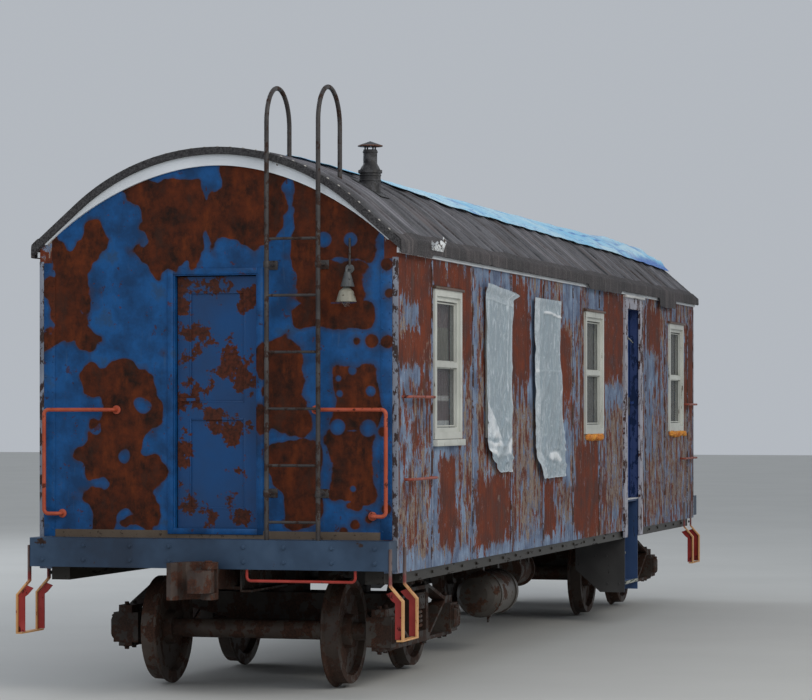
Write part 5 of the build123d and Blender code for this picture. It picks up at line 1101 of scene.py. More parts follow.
@dataclass
class SideDress:
    """The battens over the sheathing's seams, the corner strips, window caps, sills and foam."""

    seams: tuple[float, ...] = (1.00, 2.29, 3.62, 6.08, 9.62, 10.70, 12.05)
    broken_seams: tuple[float, ...] = (4.85, 7.27)
    width: float = 0.040
    thickness: float = 0.007
    foot: float = 0.962
    head: float = 3.372
    nail_count: int = 9
    nail_inset: float = 0.08
    pane_heights: Pair = (2.29925, 2.81675)
    pane: Pair = (0.632, 0.4645)
    foam_spans: tuple[Pair, ...] = ((6.64, 7.36), (10.92, 11.82))
    foam_pitch: float = 0.034
    cap_windows: tuple[int, ...] = (0, 3, 4)

    def _batten(self, side: Side, along: float, low: float, high: float) -> Piece:
        """One batten on a side, at its distance from the A end and between two heights."""
        centre = (along - HALF_LENGTH, side.value * (HALF_WIDTH + self.thickness / 2 - 0.001), (low + high) / 2)
        return Bench.block("batten", (self.width, self.thickness, high - low), centre, 0.0018)

    def battens(self, side: Side) -> None:
        """Nail the battens on one side."""
        spans = [(along, self.foot, self.head) for along in self.seams]
        for along in self.broken_seams:
            spans += [(along, self.foot, WINDOW_LOW - 0.05), (along, WINDOW_HIGH + 0.05, self.head)]
        fit(f"battens_{side.label}", [self._batten(side, *span) for span in spans], Slots.SHEATHING, BATTEN)

    def nails(self, side: Side) -> None:
        """Drive the nails of the battens."""
        spots = []
        span = self.head - self.foot - 2 * self.nail_inset
        for along in self.seams:
            for step in range(self.nail_count):
                height = self.foot + self.nail_inset + step * span / (self.nail_count - 1)
                spot = (along - HALF_LENGTH, side.y(self.thickness - 0.0012), height)
                spots.append(Bench.facing(spot, side.outward))
        stud(f"batten_nails_{side.label}", Bench.rivet(0.0055), spots, Slots.SHEATHING, STEEL)

    def corner_strips(self) -> None:
        """Cover the four corners with folded strips."""
        parts = []
        low, high = self.foot, self.head - 0.02
        middle = (low + high) / 2
        for side in Side:
            for end in End:
                parts.append(Bench.block("strip", (0.040, 0.004, high - low),
                                         (end.x(-0.0190), side.y(0.0012), middle), 0.0012))
                parts.append(Bench.block("strip", (0.004, 0.034, high - low - 0.24),
                                         (end.x(0.0012), side.y(-0.0165), middle + 0.12), 0.0012))
        fit("corner_strips", parts, Slots.SHEATHING, STRIP)

    def window_caps(self, side: Side) -> None:
        """Set a weathered drip cap on each uncovered window, and a sill under those without foam."""
        capped = self.cap_windows if side is Side.LEFT else range(5)
        with_sill = capped[:1] if side is Side.LEFT else capped
        caps = []
        for index in capped:
            cap = Bench.block("cap", (WINDOW_WIDTH + 0.05, 0.036, 0.030),
                              (WINDOW_MIDDLES[index], side.y(0.0175), WINDOW_HIGH + 0.014), 0.004)
            for vertex in cap.data.vertices:
                if vertex.co.z > WINDOW_HIGH + 0.02 and abs(vertex.co.y) > HALF_WIDTH + 0.01:
                    vertex.co.z -= 0.010
            caps.append(cap)
        fit(f"window_caps_{side.label}", caps, Slots.TRIM, BROWN_WOOD)
        sills = [Bench.block("sill", (WINDOW_WIDTH + 0.03, 0.046, 0.052),
                             (WINDOW_MIDDLES[index], side.y(0.0225), WINDOW_LOW - 0.030), 0.006)
                 for index in with_sill]
        fit(f"window_sills_{side.label}", sills, Slots.WINDOW, WINDOW)

    def putty(self, side: Side) -> None:
        """Run a bead of putty round each pane."""
        beads = [Bench.frame_of("bead", side, (x, side.y(-0.0235), height), self.pane, (0.012, 0.006, 0.002))
                 for x in WINDOW_MIDDLES for height in self.pane_heights]
        fit(f"pane_putty_{side.label}", beads, Slots.WINDOW, WINDOW)

    def foam(self) -> None:
        """Squeeze the gap foam under two windows of the left side."""
        for number, (start, stop) in enumerate(self.foam_spans, 1):
            dice = random.Random(40 + number)
            lumps = []
            count = int((stop - start) / self.foam_pitch)
            for step in range(count):
                x = start + (step + dice.uniform(0.2, 0.8)) * (stop - start) / count - HALF_LENGTH
                radius = dice.uniform(0.024, 0.040)
                y = -(HALF_WIDTH + dice.uniform(0.002, 0.014))
                spot = (x, y, WINDOW_LOW - radius * 0.7 - dice.uniform(0, 0.012))
                lumps.append(Bench.add(bpy.ops.mesh.primitive_ico_sphere_add, "lump", subdivisions=2, radius=radius,
                                       location=spot))
            bead = Bench.join(f"gap_foam_{number}", lumps)
            Bench.modify(bead, "REMESH", mode="VOXEL", voxel_size=0.006)
            for vertex in bead.data.vertices:
                vertex.co += vertex.normal * (noise.noise(vertex.co * 42.0) * 0.007)
                vertex.co.y = min(vertex.co.y, -(HALF_WIDTH - 0.004))
            place(bead, "car", Slots.WINDOW, FOAM, 70.0)

    def build(self) -> None:
        """Dress both sides."""
        for side in Side:
            self.battens(side)
            self.nails(side)
            self.window_caps(side)
            self.putty(side)
        self.corner_strips()
        self.foam()


@dataclass
class Blinds:
    """Roller blinds behind the panes, and a two-tone curtain in the first window."""

    depth: float = 0.071
    size: Pair = (0.700, 1.050)
    middle: float = 2.556

    def _hang(self, name: str, side: Side, x: float, folds: int, swing: float, finish: Finish) -> None:
        width, length = self.size
        y = side.y(-self.depth)

        def spot(u: float, v: float) -> Point:
            """Where a point of the cloth hangs."""
            wave = math.sin(u * folds * math.tau + 0.6 * math.sin(v * 5.0 + x)) * swing
            wave += wobble(u * 3, v * 2.4, x) * 0.003
            return x + (u - 0.5) * width, y - side.value * (abs(wave) + 0.001), self.middle + (v - 0.5) * length

        cloth = Bench.cloth(name, folds * 10 if folds > 2 else 16, 24, self.size, spot)
        area = Bench.thicken(cloth, 0.0012)
        place(cloth, "car", Slots.WINDOW, finish, 70.0)

    def build(self) -> None:
        """Hang all ten cloths."""
        for side in Side:
            for index, x in enumerate(WINDOW_MIDDLES):
                if index == 0:
                    self._hang(f"curtain_{side.label}_1", side, x, 7, 0.011, CURTAIN)
                else:
                    self._hang(f"blind_{side.label}_{index + 1}", side, x, 1, 0.002, BLIND)


@dataclass
class PlasticCovers:
    """The two milky sheets fixed over windows of the left side."""

    columns: int = 64
    rows: int = 128
    outlines: tuple[tuple[int, tuple, tuple], ...] = (
        (2, ((3.262, 2.610), (3.200, 2.600), (1.930, 2.655), (1.850, 2.710), (1.668, 3.060)),
         ((3.215, 3.560), (3.195, 3.760), (3.150, 3.535), (1.930, 3.515), (1.850, 3.515), (1.658, 3.530))),
        (3, ((3.205, 4.370), (3.100, 4.370), (1.840, 4.420), (1.760, 4.500), (1.572, 4.715)),
         ((3.205, 5.380), (2.700, 5.400), (2.000, 5.540), (1.840, 5.580), (1.640, 5.640), (1.580, 5.640))),
    )

    @staticmethod
    def _edge(points: Sequence[Pair], share: float) -> Pair:
        """Height and distance along the car of a point on an edge, share 1 at its top, 0 at its foot."""
        top, bottom = points[0][0], points[-1][0]
        height = bottom + (top - bottom) * share
        for (high, first), (low, second) in zip(points, points[1:]):
            if low <= height <= high:
                part = (high - height) / (high - low)
                return height, first + (second - first) * part
        return height, points[-1][1]

    @staticmethod
    def _white(number: int, u: float, v: float) -> float:
        """How white a sheet is at a point: its crumpled foot, its edges, the slanted fold of the first sheet, and
        painted highlights on some folds.
        """
        broken = 0.35 * wobble(u * 7.0, v * 17.0, number)
        crushed = 0.25 + 0.9 * crumple((u * 0.8, v * 5.6, number), 2.6)
        rim = 0.45 * smooth_step(abs(u - 0.5), 0.450, 0.498) + 0.5 * ridge(v, 0.012, 0.008)
        if number == 2:
            slant = smooth_step((0.385 - v) / 0.20 * 0.62 - u, -0.02, 0.05) * smooth_step(v, 0.16, 0.20)
            # The crumpled foot is whiter, partly as a doubled layer and partly as a painted highlight.
            blob = ridge(v - 0.135 - 0.02 * (u - 0.5), 0.070, 0.060)
            # The top flap is whiter, and the fold under it carries a painted highlight.
            top = 0.35 * smooth_step(v, 0.925, 0.94) + 0.5 * ridge(v - 0.925, 0.008, 0.006)
            casing = max(ridge(u - line, 0.035, 0.020) for line in (0.07, 0.83)) * smooth_step(v, 0.1, 0.2)
            return max(rim, slant * (0.70 + broken), blob * crushed * 1.2, top, casing * (0.42 + broken))
        # The crumpled foot is whiter, partly as a doubled layer and partly as a painted highlight.
        blob = ridge(v - 0.130 - 0.05 * (0.5 - u), 0.055, 0.05) * ridge(u - 0.52, 0.40, 0.2)
        band = 0.6 * ridge(u, 0.20, 0.03) + 0.35 * ridge(v - 0.60, 0.012, 0.008)
        # A painted highlight along the fold near the sheet's top.
        peak = ridge(v - 0.905 - 0.02 * math.sin(u * 3.1), 0.010, 0.006) * smooth_step(u, 0.25, 0.4)
        return max(rim, blob * crushed * 1.2, band * (0.8 + broken), peak, 0.25 * ridge(v, 0.12, 0.05))

    def _cover(self, number: int, left: Sequence[Pair], right: Sequence[Pair]) -> None:
        """Lay one sheet from its two edges, crumpled more towards its foot."""
        length = left[0][0] - left[-1][0]

        def spot(u: float, v: float) -> Point:
            """Where a point of the sheet lies."""
            height_left, start = self._edge(left, v)
            height_right, stop = self._edge(right, v)
            x = start + (stop - start) * u - HALF_LENGTH
            z = height_left + (height_right - height_left) * u
            z += 0.012 * wobble(x * 9, 0.0, number) * (1 - v)
            loose = smooth_step(1.0 - v, 0.55, 0.9)
            lift = 0.003 + 0.006 * crumple((x * 0.9, z * 0.35, number), 5.0)
            lift += loose * 0.020 * crumple((x, z, number + 3.0), 6.5) + 0.010 * self._white(number, u, v)
            lift += 0.010 * crumple((x - z * 0.5, z * 0.3, number + 7.0), 4.0) * smooth_step(v, 0.0, 0.4)
            lift += 0.016 * smooth_step(v, 0.945, 0.985) * (1.0 if number == 2 else 0.4)
            return x, -(HALF_WIDTH + 0.0215 + lift), z

        sheet = Bench.cloth(f"plastic_cover_{number}", self.columns, self.rows, (0.92, length), spot,
                            lambda u, v: self._white(number, u, v))
        area = Bench.thicken(sheet, 0.0012)
        place(sheet, "car", Slots.PLASTIC, FILM, 60.0)
        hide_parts("plastic_covers")

    def build(self) -> None:
        """Lay both sheets."""
        for number, left, right in self.outlines:
            self._cover(number, left, right)


@dataclass
class Tarpaulin:
    """The light blue sheet over the ridge, bunched up at the B end."""

    edge: tuple[Pair, ...] = (
        (0.72, -0.42), (2.30, -0.72), (3.52, -0.93), (5.32, -0.985), (10.2, -1.070), (12.46, -1.165))
    far_edge: float = 1.100
    columns: int = 84
    rows: int = 430
    bunch: Pair = (10.3, 11.5)
    last_fold: Pair = (11.7, 12.2)
    hem: float = 0.085

    def _along(self, share: float) -> float:
        """Distance from the A end at a share of the sheet's length."""
        return self.edge[0][0] + (self.edge[-1][0] - self.edge[0][0]) * share

    def _left(self, along: float) -> float:
        """Y of the left edge at a distance from the A end."""
        for (first, low), (second, high) in zip(self.edge, self.edge[1:]):
            if along <= second:
                return low + (high - low) * (along - first) / (second - first)
        return self.edge[-1][1]

    def _rolls(self, along: float, y: float) -> float:
        """Height of the gathered pillows and folds, 0 to about 1: in the bunch, and lower before it."""
        x = along - HALF_LENGTH
        spot = Vector((x * 1.0 + y * 0.9, y * 3.6, 8.0))
        pillow = min(1.0, abs(noise.noise(spot)) * 2.4)
        small = min(1.0, abs(noise.noise(spot * 2.9)) * 2.4)
        bunch = smooth_step(along, *self.bunch) * smooth_step(-y, 0.50, 0.72)
        late = 0.30 * smooth_step(along, 8.9, 10.4) * smooth_step(-y, 0.40, 0.70)
        rim = 0.30 * smooth_step(along, *self.last_fold)
        held = smooth_step(self.edge[-1][0] - along, 0.0, 0.10) * smooth_step(y - self._left(along), -0.004, 0.090)
        return max(bunch, rim, late) * (0.22 + 0.54 * pillow + 0.24 * small) * held

    def _spot(self, u: float, v: float) -> Point:
        """Where a point of the sheet lies, from its shares across and along."""
        along = self._along(v)
        x = along - HALF_LENGTH
        left = self._left(along) + 0.016 * wobble(x * 1.3, 5.0, 0.0)
        y = left + (self.far_edge + 0.02 * wobble(x * 1.9, 9.0, 0.0) - left) * u
        rib = abs((x / RIB_PITCH) % 1.0 - 0.5) * RIB_PITCH
        hem = smooth_step(self.hem - (y - left), -0.004, 0.004)
        sag = 0.008 * smooth_step(rib, 0.03, 0.16) * (1.0 - 0.75 * hem)
        lift = RIB_RISE + 0.003 - sag + 0.006 * crumple((x * 0.5, y, 1.0), 3.4) + 0.011 * hem
        lift += 0.004 * crumple((x, y, 4.0), 9.0) * (1.0 - hem)
        return x, y, arch(y, lift + 0.066 * self._rolls(along, y))

    def _fold(self, u: float, v: float) -> float:
        """How pale a point is: crests take a painted highlight, and valleys, the hem's line and a crease take painted
        shade.
        """
        along = self._along(v)
        left = self._left(along)
        y = left + (self.far_edge - left) * u
        gathered = max(smooth_step(along, *self.bunch) * smooth_step(-y, 0.45, 0.65),
                       smooth_step(along, *self.last_fold))
        # Painted shadow of the doubled hem, in a line just inside it.
        line = ridge(y - left - self.hem - 0.012, 0.022, 0.014) * (1.0 - gathered)
        # Painted shade along a crease before the bunch.
        crease = ridge(y + 0.80 + 0.05 * (along - 10.0), 0.030, 0.024) * smooth_step(along, 8.2, 8.8)
        crease *= smooth_step(-along, -10.6, -10.2)
        pale = 0.56 - 0.45 * line - 0.6 * crease
        # In the bunch, a painted highlight on the crests and painted shade in the valleys.
        return min(1.0, max(0.0, pale + gathered * (2.0 * self._rolls(along, y) - 0.95)))

    def build(self) -> None:
        """Spread the sheet and hem it."""
        length = self.edge[-1][0] - self.edge[0][0]
        sheet = Bench.cloth("tarpaulin", self.columns, self.rows, (2.35, length), self._spot, self._fold)
        area = Bench.thicken(sheet, 0.003)
        place(sheet, "car", Slots.TARP, TARPAULIN, 50.0)
        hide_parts("tarp")


@dataclass
class RoofDress:
    """The felt course along the eaves with its hanging flaps, the end nails and the jack's flashing."""

    columns: int = 420
    course: float = 0.060
    eave: float = HALF_WIDTH + 0.0475
    tip: float = HALF_LENGTH + 0.055
    flaps: tuple[Triple, ...] = ((-0.10, 0.86, 0.030), (6.55, 8.15, 0.038), (10.15, 11.10, 0.092))
    nail_pitch: float = 0.105
    jack: Pair = (-5.070, -0.900)

    def _drop(self, along: float) -> float:
        """How far the felt's hem hangs below the eave at a distance from the A end."""
        drop = -0.006 + 0.010 * wobble(along * 5.0, 2.0, 0.0) + 0.006 * wobble(along * 23.0, 7.0, 0.0)
        for start, stop, more in self.flaps:
            drop += more * smooth_step(along, start, start + 0.05) * smooth_step(-along, -stop, 0.05 - stop)
        return max(-0.020, drop)

    def eave_felt(self, side: Side) -> None:
        """Lay the eave course over the bands and let it hang over the edge."""
        low = arch(self.eave)

        def spot(u: float, v: float) -> Point:
            """Where a point of the felt lies: u down the slope, v along the car."""
            x = -self.tip + 2 * self.tip * v
            start = self.eave - self.course + 0.030 * wobble(x * 1.7, side.value, 3.0)
            wave = max(0.0, 0.005 * wobble(x * 1.3, u * 2.0, side.value) + 0.003 * crumple((x, u, 1.0), 5.0))
            rise = ROOF_RISE + 0.004 + (RIB_RISE - ROOF_RISE) * ridge(x, 6.02, 0.10)
            if u <= 0.5:
                y = start + (self.eave - start) * u / 0.5
                return x, side.value * y, arch(y, rise) + wave
            fall = (u - 0.5) / 0.5
            top = arch(self.eave, rise)
            bottom = low - self._drop(x + HALF_LENGTH)
            return x, side.value * (self.eave + 0.002 + wave * fall), top + (bottom - top) * fall

        felt = Bench.cloth(f"eave_felt_{side.label}", 12, self.columns, (0.2, 12.5), spot)
        Bench.thicken(felt, 0.004)
        place(felt, "car", Slots.ROOF, EAVE_FELT, 50.0)

    def end_nails(self) -> None:
        """Nail the felt along the roof's two ends."""
        spots = []
        for end in End:
            y = -1.40
            while y < 1.41:
                slope = (arch(y + 0.01, ROOF_RISE) - arch(y - 0.01, ROOF_RISE)) / 0.02
                normal = Vector((0, -slope, 1)).normalized()
                spots.append(Bench.facing((end.x(0.035), y, arch(y, ROOF_RISE + 0.0005)), normal))
                y += self.nail_pitch / math.sqrt(1 + slope**2)
        stud("roof_end_nails", Bench.rivet(0.012), spots, Slots.TRIM, NAIL)

    def flashing(self) -> None:
        """Dress the smoke jack's foot with a flashing and hoops."""
        x, y = self.jack
        tilt = math.asin(y / (ROOF_RADIUS + ROOF_RISE))
        plate = Bench.block("plate", (0.236, 0.300, 0.005), (0, 0, 0), 0.002)
        spot = Matrix.Translation((x, y, arch(y, ROOF_RISE + 0.003))) @ Matrix.Rotation(-tilt, 4, "X")
        stud("jack_flashing", plate, [spot], Slots.JACK, JACK)
        foot = arch(y, ROOF_RISE)
        hoops = [Bench.drum("hoop", radius, 0.016, (x, y, foot + rise), sides=32, bevel=0.004)
                 for radius, rise in ((0.0885, 0.062), (0.0885, 0.104), (0.0605, 0.290))]
        rim = Bench.drum("rim", 0.101, 0.009, (x, y, foot + 0.338), sides=32, bevel=0.003)
        fit("jack_hoops", hoops, Slots.JACK, JACK)
        fit("jack_cap_rim", [rim], Slots.JACK, CAP)

    def ragged_scrap(self) -> None:
        """Leave the torn white scrap at the roof's near corner."""
        low = arch(HALF_WIDTH + 0.05, ROOF_RISE) - 0.030

        def spot(u: float, v: float) -> Point:
            """Where a point of the scrap lies: its upper edge is torn into tatters that curl over."""
            saw = abs((u * 6.0 + 0.4 * wobble(u * 3.0, 4.0, 0.0)) % 1.0 - 0.5) * 2.0
            tall = 0.010 + saw * (0.025 + 0.080 * max(0.0, 0.5 + wobble(u * 2.6, 1.0, 6.0)))
            x = -HALF_LENGTH + 0.78 + u * 0.34 - 0.030 * v * math.sin(u * 19.0)
            out = 0.056 + 0.030 * v * v * math.sin(u * 31.0) ** 2 + 0.010 * crumple((u * 1.6, v, 1.0), 3.6)
            return x, Side.LEFT.y(out), low + tall * v

        scrap = Bench.cloth("torn_scrap", 96, 10, (0.34, 0.10), spot)
        area = Bench.thicken(scrap, 0.002)
        place(scrap, "car", Slots.ROOF, TORN, 60.0)

    def build(self) -> None:
        """Dress the roof."""
        for side in Side:
            self.eave_felt(side)
        self.end_nails()
        self.flashing()
        self.ragged_scrap()


@dataclass
class EndDress:
    """The end sheets' plates and rivets, door frames, sill bolts, handrail flanges, ladder clamps, lamp fittings."""

    plate: Pair = (0.036, 0.128)
    foot: float = 1.212
    head: float = 3.340
    rivet_pitch: float = 0.115
    bolts: tuple[float, ...] = (0.30, 0.62, 1.00, 1.34)
    rail_feet: tuple[Pair, ...] = ((0.640, 2.197), (0.190, 1.390))
    ladder_insets: Pair = (0.570, 0.980)
    ladder_heights: Pair = (1.560, 3.300)

    @staticmethod
    def _sheet(end: End) -> RustedSheet:
        """The finish of an end's sheet."""
        return END_A if end is End.A else END_B

    def _rivet_row(self, end: End, y: float) -> list[Matrix]:
        """Places of an upright row of rivets on an end's edge plate."""
        span = self.head - self.foot
        count = int(span / self.rivet_pitch)
        return [Bench.facing((end.x(0.0042), y, self.foot + (step + 0.5) * span / count), end.outward)
                for step in range(count)]

    def edge_plates(self, end: End) -> None:
        """Fix a riveted plate along both upright edges of an end."""
        inner, outer = self.plate
        plates, rivets = [], []
        for side in Side:
            middle = side.y(-(inner + outer) / 2)
            plates.append(Bench.block("plate", (0.006, outer - inner, self.head - self.foot),
                                      (end.x(0.0020), middle, (self.foot + self.head) / 2), 0.0015))
            for offset in (-0.030, 0.030):
                rivets += self._rivet_row(end, middle + offset)
        fit(f"edge_plates_{end.label}", plates, Slots.SHEET, self._sheet(end))
        stud(f"edge_rivets_{end.label}", Bench.rivet(0.008), rivets, Slots.SHEET, self._sheet(end))

    def door_surround(self, end: End) -> None:
        """Frame the end doorway with angle bars."""
        surround = Bench.frame_of(f"end_door_surround_{end.label}", end, (end.x(0.005), 0.0, 2.262), (0.730, 2.000),
                                  (0.045, 0.012, 0.003))
        place(surround, "car", Slots.SHEET, self._sheet(end))

    def sill_bolts(self, end: End) -> None:
        """Bolt the end sill's face."""
        low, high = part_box(f"end_sill_{end.label}")
        face = low.x if end is End.A else high.x
        spots = [Bench.facing((face, side.value * y, low.z + (high.z - low.z) * share), end.outward)
                 for side in Side for y in self.bolts for share in (0.25, 0.75)]
        stud(f"end_sill_bolts_{end.label}", Bench.bolt(0.014, 0.014), spots, Slots.END_SILL, END_SILL)

    def rail_flanges(self) -> None:
        """Put round flanges where the handrails meet the ends."""
        flanges = [Bench.drum("flange", 0.034, 0.010, (end.x(0.005), side.y(-inset), height), end.outward, 18, 0.003)
                   for end in End for side in Side for inset, height in self.rail_feet]
        fit("rail_flanges", flanges, Slots.GRAB, RAIL_RED)

    def ladder_clamps(self) -> None:
        """Clamp the ladder's stiles to their brackets."""
        clamps = []
        for inset in self.ladder_insets:
            for height in self.ladder_heights:
                y = inset - HALF_WIDTH
                clamps.append(Bench.drum("clamp", 0.0245, 0.050, (End.A.x(0.170), y, height), sides=16, bevel=0.004))
                clamps.append(Bench.block("foot", (0.008, 0.070, 0.070), (End.A.x(0.004), y, height), 0.003))
        fit("ladder_clamps", clamps, Slots.LADDER, LADDER)

    def lamp_fittings(self) -> None:
        """Give the lamp its bulb, its rim and the conduit up the wall."""
        low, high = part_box("lamp")
        x, y, wall = End.A.x(0.100), (low.y + high.y) / 2, End.A.x(0.010)
        bulb = Bench.add(bpy.ops.mesh.primitive_uv_sphere_add, "lamp_bulb", segments=20, ring_count=12, radius=0.034,
                         location=(x, y, 3.008))
        Bench.edit(bulb, lambda: bpy.ops.mesh.bisect(plane_co=(x, y, 3.0125), plane_no=(0, 0, 1), use_fill=True,
                                                     clear_outer=True))
        place(bulb, "car", Slots.LAMP, BULB, 60.0)
        housing = Bench.drum("lamp_housing", 0.054, 0.112, (x, y - 0.010, 3.182), sides=32, bevel=0.004, top=0.42)
        place(housing, "car", Slots.LAMP, LAMP)
        rim = Bench.drum("lamp_rim", 0.0785, 0.007, (x, y, 3.0155), sides=36, bevel=0.003)
        place(rim, "car", Slots.LAMP, LAMP)
        conduit = Bench.tube("lamp_conduit", ((wall, y, 3.292), (wall, y, 3.500)), 0.009)
        place(conduit, "car", Slots.LAMP, LADDER)

    def build(self) -> None:
        """Dress both ends."""
        for end in End:
            self.edge_plates(end)
            self.door_surround(end)
            self.sill_bolts(end)
        self.rail_flanges()
        self.ladder_clamps()
        self.lamp_fittings()


@dataclass
class DoorDress:
    """The side doors' mouldings, locks, thresholds and hasp, and the end doors' mouldings."""

    leaf: Pair = (0.655, 1.9746)
    leaf_face: float = 1.3490
    end_leaf: Pair = (0.645, 1.947)
    end_leaf_face: float = 6.1690
    end_leaf_foot: float = 1.2755
    fields: tuple[Pair, ...] = ((0.08, 0.44), (0.50, 0.94))
    stile: float = 0.095
    lock_height: float = 2.235
    hasp_route: tuple[Point, ...] = (
        (2.352, -1.4745, 2.938), (2.420, -1.474, 2.932), (2.560, -1.462, 2.915), (2.700, -1.452, 2.898))

    def _beads(self, face: Face, foot: Point, leaf: Pair) -> list[Piece]:
        """Mould the fields of a leaf, from the middle of its foot on its face, and its width and height."""
        beads = []
        for start, stop in self.fields:
            size = (leaf[0] - 2 * self.stile - 0.014, (stop - start) * leaf[1] - 0.014)
            middle = (foot[0], foot[1], foot[2] + (start + stop) / 2 * leaf[1])
            beads.append(Bench.frame_of("bead", face, middle, size, (0.016, 0.013, 0.004)))
        return beads

    def side_leaf(self, side: Side) -> None:
        """Trim one side door's panels and lock."""
        body = f"side_door_{side.label}"
        foot = (DOOR_MIDDLE, side.value * self.leaf_face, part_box(f"door_leaf_{side.label}")[0].z)
        fit(f"door_beads_{side.label}", self._beads(side, foot, self.leaf), Slots.DOOR, LEAF, body)
        x, y = DOOR_MIDDLE + self.leaf[0] / 2 - self.stile / 2, side.value * (self.leaf_face + 0.0130)
        plate = Bench.block("plate", (0.046, 0.006, 0.190),
                            (x, side.value * (self.leaf_face + 0.0085), self.lock_height), 0.0025)
        rose = Bench.drum("rose", 0.020, 0.010, (x, y, self.lock_height + 0.040), side.outward, 18, 0.002)
        keyhole = Bench.drum("keyhole", 0.009, 0.006, (x, y, self.lock_height - 0.050), side.outward, 12)
        fit(f"door_lock_{side.label}", [plate, rose, keyhole], Slots.HINGE, STEEL, body)

    def threshold(self, side: Side) -> None:
        """Lay the doorway's pale threshold strip and head drip."""
        strip = Bench.block("strip", (0.664, 0.072, 0.012),
                            (DOOR_MIDDLE, side.value * 1.410, FLOOR_TOP + 0.0055), 0.003)
        drip = Bench.block("drip", (0.960, 0.045, 0.026), (DOOR_MIDDLE, side.y(0.022), 3.368), 0.006)
        fit(f"door_threshold_{side.label}", [strip, drip], Slots.TRIM, TRIM)

    def hasp(self) -> None:
        """Lay the thin pale hasp bar across the left doorway."""
        bar = Bench.tube("door_hasp", self.hasp_route, 0.006, smooth=True)
        place(bar, "car", Slots.HINGE, NOSING)
        staple = Bench.block("hasp_staple", (0.050, 0.006, 0.034), (2.350, -1.4725, 2.938), 0.002)
        place(staple, "car", Slots.HINGE, STEEL)

    def end_beads(self, end: End) -> None:
        """Trim one end door's panels."""
        foot = (end.value * self.end_leaf_face, 0.0, self.end_leaf_foot)
        fit(f"end_door_beads_{end.label}", self._beads(end, foot, self.end_leaf), Slots.SHEET, END_LEAF,
            f"end_door_{end.label}")

    def build(self) -> None:
        """Dress the four doors."""
        for side in Side:
            self.side_leaf(side)
            self.threshold(side)
        self.hasp()
        for end in End:
            self.end_beads(end)


@dataclass
class StairDress:
    """Nosings and raised bars on the treads, and the bolts of the cheeks."""

    treads: tuple[float, ...] = (0.424, 0.705, 0.986)
    front: float = 1.440
    setback: float = 0.130
    width: float = 0.630
    bar_count: int = 4
    bar_pitch: float = 0.022
    cheek: float = 0.3350

    def build(self) -> None:
        """Dress both stairs."""
        for side in Side:
            nosings, bars, bolts = [], [], []
            for index, top in enumerate(self.treads):
                front = self.front - index * self.setback
                nosings.append(Bench.block("nosing", (self.width, 0.026, 0.030),
                                           (DOOR_MIDDLE, side.value * (front - 0.006), top - 0.010), 0.004))
                for step in range(self.bar_count):
                    y = side.value * (front - 0.045 - step * self.bar_pitch)
                    bars.append(Bench.block("bar", (self.width - 0.06, 0.010, 0.006),
                                            (DOOR_MIDDLE, y, top + 0.0022), 0.002, 1))
                bolts += [Bench.facing((DOOR_MIDDLE + sign * self.cheek, side.value * (front - back), top - 0.014),
                                       (sign, 0, 0)) for sign in (-1, 1) for back in (0.06, 0.18)]
            fit(f"tread_nosings_{side.label}", nosings, Slots.STAIR, NOSING)
            fit(f"tread_bars_{side.label}", bars, Slots.STAIR, STAIR)
            stud(f"stair_bolts_{side.label}", Bench.bolt(0.009, 0.009), bolts, Slots.STAIR, STAIR)


